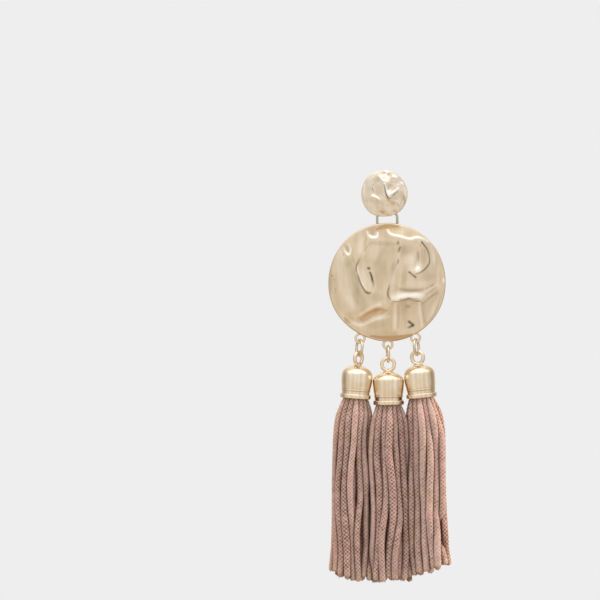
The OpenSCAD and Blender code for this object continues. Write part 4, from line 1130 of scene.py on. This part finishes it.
# Lays out the cords of all three tassels together. Where two overlap they are pushed apart, and each is
# smoothed along its length, so that they lie on each other as hanging cords do.
def layCords():
    cords = drawCords()
    top = max(c["mouth"][2] for c in cords) + tassels["headUp"]
    step = settling["step"]
    levels = top - step * np.arange(int((top + settling["lowest"]) / step))
    aims, radii, pinned = [np.stack(values, 1) for values in zip(*[cordAim(c, levels) for c in cords])]
    spots = aims.copy()
    reach = settling["touch"] * (radii[:, :, None] + radii[:, None, :])
    outer = np.array(tassels["reach"])
    furthest = [np.interp(levels, outer[:, 0], outer[:, column]) for column in (1, 2)]
    for turn in range(settling["turns"]):
        apart = spots[:, :, None] - spots[:, None, :]
        gap = np.maximum(np.linalg.norm(apart, axis=-1), 1e-6)
        push = np.clip(reach - gap, 0, None) * (gap > 1e-5)
        move = (apart / gap[..., None] * push[..., None]).sum(2) * settling["push"]
        spots = np.where(pinned[..., None], aims, spots + move + settling["pull"] * (aims - spots))
        spots[..., 0] = np.clip(spots[..., 0], furthest[0][:, None] + radii, furthest[1][:, None] - radii)
        for _ in range(settling["smoothings"] if turn < settling["turns"] - settling["lastTurns"] else 1):
            smooth = spots.copy()
            smooth[1:-1] = 0.5 * spots[1:-1] + 0.25 * (spots[:-2] + spots[2:])
            spots = np.where(pinned[..., None], aims, smooth)
    return cords, levels, spots, radii


# Height of the knit over a cord: two families of threads cross, and leave holes that stand in columns,
# each column half a stitch along from its neighbours. It is minus the product of two cosines.
def knitHeight(around, along):
    return -np.cos(2 * np.pi * along / tassels["stitch"]) * np.cos(np.pi * around * tassels["columns"])


# How much of the light round it each point of a cord loses to the cords beside it: in its level's plane, the
# part of the half circle in front of the point that they cover, each direction weighed by its cosine
def deepShare(points, axis, number, levels, spots, radii):
    heights = points[:, 0, 2]
    normals = points[..., :2] - axis[:, None, :2]
    normals /= np.linalg.norm(normals, axis=-1, keepdims=True)
    covered = np.zeros(points.shape[:2])
    for other in range(spots.shape[1]):
        x, y, otherRadius = [np.interp(-heights, -levels, values[:, other])
                             for values in (spots[..., 0], spots[..., 1], radii)]
        if other == number or np.hypot(x - axis[:, 0], y - axis[:, 1]).min() > tassels["coverReach"]:
            continue
        dx, dy = x[:, None] - points[..., 0], y[:, None] - points[..., 1]
        gap = np.maximum(np.hypot(dx, dy), otherRadius[:, None])
        turn = np.arccos(np.clip((dx * normals[..., 0] + dy * normals[..., 1]) / gap, -1, 1))
        half = np.arcsin(otherRadius[:, None] / gap)
        high, low = np.minimum(turn + half, np.pi / 2), np.maximum(turn - half, -np.pi / 2)
        part = np.clip(np.sin(high) - np.sin(np.minimum(low, high)), 0, None) / 2
        covered += part / (1 + (gap / tassels["coverFade"]) ** 2)
    return smoothStep(*tassels["coveredFrom"], covered)


# Loose threads at a cut end: how many, their length, width and sides, how far inside the cord they start, and
# how much each one's place round the end, length, place out from the middle and bend differ
strays = {"count": 4, "length": 0.30, "width": 0.26, "sides": 5, "rooted": 0.25, "seed": 1000,
          "scatter": 0.4, "lengths": (0.4, 1.0), "places": (0.1, 0.45), "bends": (-0.1, 0.45), "taper": 0.5}


# Each is a thin tapered tube that bends outwards as it hangs, by the square of the share down it
def strayThreads(end, radius, tone, random):
    shapes = []
    share = np.linspace(0, 1, 5)
    for k in range(strays["count"]):
        angle = 2 * np.pi * (k + random.uniform(-strays["scatter"], strays["scatter"])) / strays["count"]
        outwards = np.array([math.cos(angle), math.sin(angle), 0])
        down = strays["length"] * random.uniform(*strays["lengths"]) + strays["rooted"]
        path = end + outwards * radius * random.uniform(*strays["places"]) + [0, 0, strays["rooted"]]
        bend = random.uniform(*strays["bends"])
        path = path + np.outer(share ** 2, outwards) * bend - np.outer(share, [0, 0, down])
        radii = strays["width"] / 2 * (1 - strays["taper"] * share)
        thread = sweepTube(path, radii, strays["sides"], (0.3, 1, 0))
        shapes.append({**thread, "tone": tone, "crease": 1.0, "deep": 0.0})
    return shapes


# A change near the mouth and another near the cut end, each dying away over its own reach
def nearEnds(along, length, change):
    mouth = change["mouth"] * (1 - smoothStep(0, change["mouthReach"], along))
    return mouth + change["end"] * smoothStep(length - change["endReach"], length, along)


# One cord: a tube along its laid path, whose radius grows and shrinks with the knit's height. Its cut end
# rounds off over half a millimetre as a quarter of an ellipse does, and lets a few threads go.
def cordShapes(c, number, levels, spots, radii):
    side, count = c["side"], tassels["sides"]
    hem = np.array(tassels["hem"][side])
    length = tassels["length"] + np.interp(c["share"] * math.cos(c["theta"]), hem[:, 0], hem[:, 1])
    length -= tassels["hemUneven"] * c["cut"]
    rounding = tassels["roundEnd"]
    body = np.arange(-tassels["headUp"], length - rounding, tassels["rowStep"])
    along = np.concatenate([body, length - rounding * np.array(tassels["endRows"])])
    heights = c["mouth"][2] - along
    x, y, radius = [np.interp(-heights, -levels, values[:, number])
                    for values in (spots[..., 0], spots[..., 1], radii)]
    path = np.stack([x, y, heights], -1)
    around = np.arange(count) / count
    knitted = radius[:, None] * (1 + tassels["stitchDepth"] * knitHeight(around[None, :], along[:, None]))
    tail = np.clip((length - along) / rounding, 0, 1)
    left = tassels["endLeft"]
    knitted *= (left + (1 - left) * np.sqrt(1 - (1 - tail) ** 2))[:, None]
    twist = c["twist"][0] + tassels["twistSwing"] * np.sin(c["twist"][1] + tassels["twistPace"] * along)
    shape = sweepTube(path, knitted, count, (0, 1, 0), turn=twist)
    # the whole part of u says how openly the cord is knitted, and leaves the stitches where they are
    shape["quadUv"] = gridUv(along, count)
    shape["quadUv"][..., 0] += int(tassels["opennessSteps"] * c["twist"][1] / (2 * np.pi))
    # painted light on the right tassel's outer side and painted shade on the left one's
    outside = max(0.0, side * math.cos(c["theta"]))
    sideTone, paintedOuterLightAndShade = tassels["sideTone"][side]
    tone = tassels["tone"] + tassels["toneSpread"] * c["tone"] + sideTone + paintedOuterLightAndShade * outside
    tone += tassels["innerTone"] * (1 - c["share"])
    palerNearEnds = 1 + nearEnds(along, length, tassels["palerNearEnds"])
    shape["tone"] = np.concatenate([np.repeat(tone * palerNearEnds, count), [tone, tone]])
    skin = shape["points"][:-2].reshape(len(along), count, 3)
    # painted shade between the cords, from the light that their neighbours cover
    deep = deepShare(skin, path, number, levels, spots, radii) * (1 if c["share"] == 1 else tassels["innerDeep"])
    deep *= (1 - nearEnds(along, length, tassels["lit"]))[:, None]
    shape["deep"] = np.concatenate([deep.ravel(), [1, 0]])
    # a painted copper light on the outermost cords
    shape["paintedWarmLight"] = outside ** knit["outermostPower"] * c["share"]
    # the crease share marks the last millimetres, where the cut threads loosen
    fray = np.clip(1 - (length - along) / tassels["fray"], 0, 1)
    shape["crease"] = np.concatenate([np.repeat(fray, count), [0, 1]])
    return [shape] + strayThreads(path[-1], radius[-1], tone, np.random.default_rng(strays["seed"] + number))


# Dusty rose knitted cord: soft viscose thread knitted in a tube. Dark pinholes 1 mm apart stand in ten columns
# round it, with small slanting strokes of thread 0.62 mm apart between them. It has a soft sheen at grazing
# angles and a slightly different tone in each cord.
knit = {
    # from the face of the threads into the pinholes
    "threads": [(0.05, "#b59b93"), (0.55, "#9e837b"), (0.74, "#7b5f57"), (0.88, "#634840")],
    "openness": -0.32, "variety": 0.36,           # how open the knit is, and how much it differs between cords
    "unevenSize": 1.923, "unevenness": 0.85,      # slow unevenness of the knitting, about two stitches long
    "shiftSize": 1.4286, "jitter": 0.22, "wander": 0.9,  # stitches out of line: along the cord, and round it
    "stroke": 0.62, "lean": 2.2, "strokeShare": 0.13,  # strokes: pitch, slant in radians, change of tone
    "glintSize": 0.6667, "glints": (0.86, 1.17),  # small soft lights on the threads, as factors of their tone
    "dyeSize": 3.846, "dyes": [(0.34, "#fff5f5"), (0.50, "#ffffff"), (0.66, "#fdfcf0")],  # from rose to beige
    "outermost": "#fff4ec", "outermostPower": 4,  # a copper light on the cords at the outer sides
    "end": "#c9a893", "endShare": 0.55,           # the pale inside of cut threads
    # painted shade between the cords: its colour, and its strongest share
    "between": "#56372f", "deepest": 0.85,        # deep between the cords
    "roughness": 0.68, "specular": 0.3, "sheen": 0.25, "sheenRoughness": 0.5, "sheenTint": "#f0cdbb",
    "bumpDepth": 0.06, "bumpShare": 0.5,
}


def knittedCord():
    material, tree, shader = newMaterial("dustyRoseKnittedViscoseCord", {
        "Roughness": knit["roughness"], "Specular IOR Level": knit["specular"], "Sheen Weight": knit["sheen"],
        "Sheen Roughness": knit["sheenRoughness"], "Sheen Tint": linearColour(knit["sheenTint"])})
    place = addNode(tree, "UVMap", {"uv_map": "UVMap"})
    axes = addNode(tree, "SeparateXYZ", inputs={0: place})
    objectPlace = addNode(tree, "TexCoord").outputs["Object"]
    # the stitches aren't quite in line: they shift along the cord and round it
    shift = addNode(tree, "TexNoise", inputs={0: objectPlace, "Scale": 1000 / knit["shiftSize"]})
    apart = addNode(tree, "SeparateColor", inputs={0: shift.outputs[1]})
    wander = addNode(tree, "Math", {"operation": "MULTIPLY_ADD"},
                     {0: apart.outputs[1], 1: knit["wander"] / tassels["columns"], 2: axes})
    column = addNode(tree, "Math", {"operation": "MULTIPLY"},
                     {0: wander, 1: math.pi * tassels["columns"]})
    across = addNode(tree, "Math", {"operation": "COSINE"}, {0: column})
    shiftedAlong = addNode(tree, "Math", {"operation": "MULTIPLY_ADD"},
                           {0: shift, 1: 2 * knit["jitter"] * tassels["stitch"], 2: axes.outputs[1]})
    stitches = addNode(tree, "Math", {"operation": "MULTIPLY"},
                       {0: shiftedAlong, 1: 2 * math.pi / tassels["stitch"]})
    down = addNode(tree, "Math", {"operation": "COSINE"}, {0: stitches})
    lattice = addNode(tree, "Math", {"operation": "MULTIPLY"}, {0: across, 1: down})
    hole = addNode(tree, "MapRange", inputs={0: lattice, 1: -1.0, 2: 1.0})
    uneven = addNode(tree, "TexNoise", inputs={
        0: objectPlace, "Scale": 1000 / knit["unevenSize"], "Detail": 2.0})
    shifted = addNode(tree, "Math", {"operation": "MULTIPLY_ADD"},
                      {0: uneven, 1: knit["unevenness"], 2: -knit["unevenness"] / 2})
    openness = addNode(tree, "Math", {"operation": "ADD"}, {0: hole, 1: shifted})
    # some cords are knitted looser, so that their pinholes show more
    whole = addNode(tree, "Math", {"operation": "FLOOR"}, {0: axes})
    looseness = addNode(tree, "Math", {"operation": "MULTIPLY_ADD"}, {
        0: whole, 1: knit["variety"] / (tassels["opennessSteps"] - 1), 2: knit["openness"]})
    pinholes = addNode(tree, "Math", {"operation": "ADD"}, {0: openness, 1: looseness})
    thread = addNode(tree, "ValToRGB", inputs={0: pinholes})
    fillRamp(thread, knit["threads"])
    glints = addNode(tree, "TexNoise", inputs={0: objectPlace, "Scale": 1000 / knit["glintSize"]})
    dull, bright = knit["glints"]
    glint = addNode(tree, "MapRange", inputs={0: glints, 1: 0.3, 2: 0.7, 3: dull, 4: bright})
    # each column of stitches is a row of small strokes that lean to either side of it
    strokes = addNode(tree, "Math", {"operation": "MULTIPLY"},
                      {0: shiftedAlong, 1: 2 * math.pi / knit["stroke"]})
    leaning = addNode(tree, "Math", {"operation": "MULTIPLY_ADD"},
                      {0: across, 1: knit["lean"], 2: strokes})
    chevrons = addNode(tree, "Math", {"operation": "SINE"}, {0: leaning})
    stroked = addNode(tree, "Math", {"operation": "MULTIPLY_ADD"},
                      {0: chevrons, 1: knit["strokeShare"], 2: glint})
    tone = addNode(tree, "Attribute", {"attribute_name": "tone"})
    value = addNode(tree, "Math", {"operation": "MULTIPLY"}, {0: tone.outputs["Fac"], 1: stroked})
    toned = addNode(tree, "HueSaturation", inputs={"Value": value, "Color": thread})
    dye = addNode(tree, "TexNoise", inputs={0: objectPlace, "Scale": 1000 / knit["dyeSize"]})
    dyes = addNode(tree, "ValToRGB", inputs={0: dye})
    fillRamp(dyes, knit["dyes"])
    dyed = addNode(tree, "Mix", {"data_type": "RGBA", "blend_type": "MULTIPLY"},
                   {0: 1.0, 6: toned, 7: dyes})
    # painted copper light on the outermost cords
    outermost = addNode(tree, "Attribute", {"attribute_name": "paintedWarmLight"})
    warmed = addNode(tree, "Mix", {"data_type": "RGBA", "blend_type": "MULTIPLY"},
                     {0: outermost.outputs["Fac"], 6: dyed.outputs[2], 7: linearColour(knit["outermost"])})
    ends = addNode(tree, "Attribute", {"attribute_name": "crease"})
    endShare = addNode(tree, "Math", {"operation": "MULTIPLY"}, {0: ends.outputs["Fac"], 1: knit["endShare"]})
    ended = addNode(tree, "Mix", {"data_type": "RGBA"},
                    {0: endShare, 6: warmed.outputs[2], 7: linearColour(knit["end"])})
    # painted shade between the cords
    deep = addNode(tree, "Attribute", {"attribute_name": "deep"})
    shade = addNode(tree, "Math", {"operation": "MULTIPLY"}, {0: deep.outputs["Fac"], 1: knit["deepest"]})
    colour = addNode(tree, "Mix", {"data_type": "RGBA"},
                     {0: shade, 6: ended.outputs[2], 7: linearColour(knit["between"])})
    tree.links.new(colour.outputs[2], shader.inputs["Base Color"])
    raised = addNode(tree, "Math", {"operation": "SUBTRACT"}, {0: 1.0, 1: hole})
    bump = addNode(tree, "Bump", inputs={
        "Strength": knit["bumpShare"], "Distance": knit["bumpDepth"] * mm, "Height": raised})
    tree.links.new(bump.outputs[0], shader.inputs["Normal"])
    return material


cordMaterial = knittedCord()
cords, levels, cordSpots, cordRadii = layCords()
print("stage: cords laid out")
for side, word, seed in threeSides:
    shapes = [shape for number, c in enumerate(cords) if c["side"] == side
              for shape in cordShapes(c, number, levels, cordSpots, cordRadii)]
    makePiece("tassel" + word.capitalize(), joinShapes(shapes), "drop", "tassel_" + word,
              cordMaterial, sharpAngle=60)
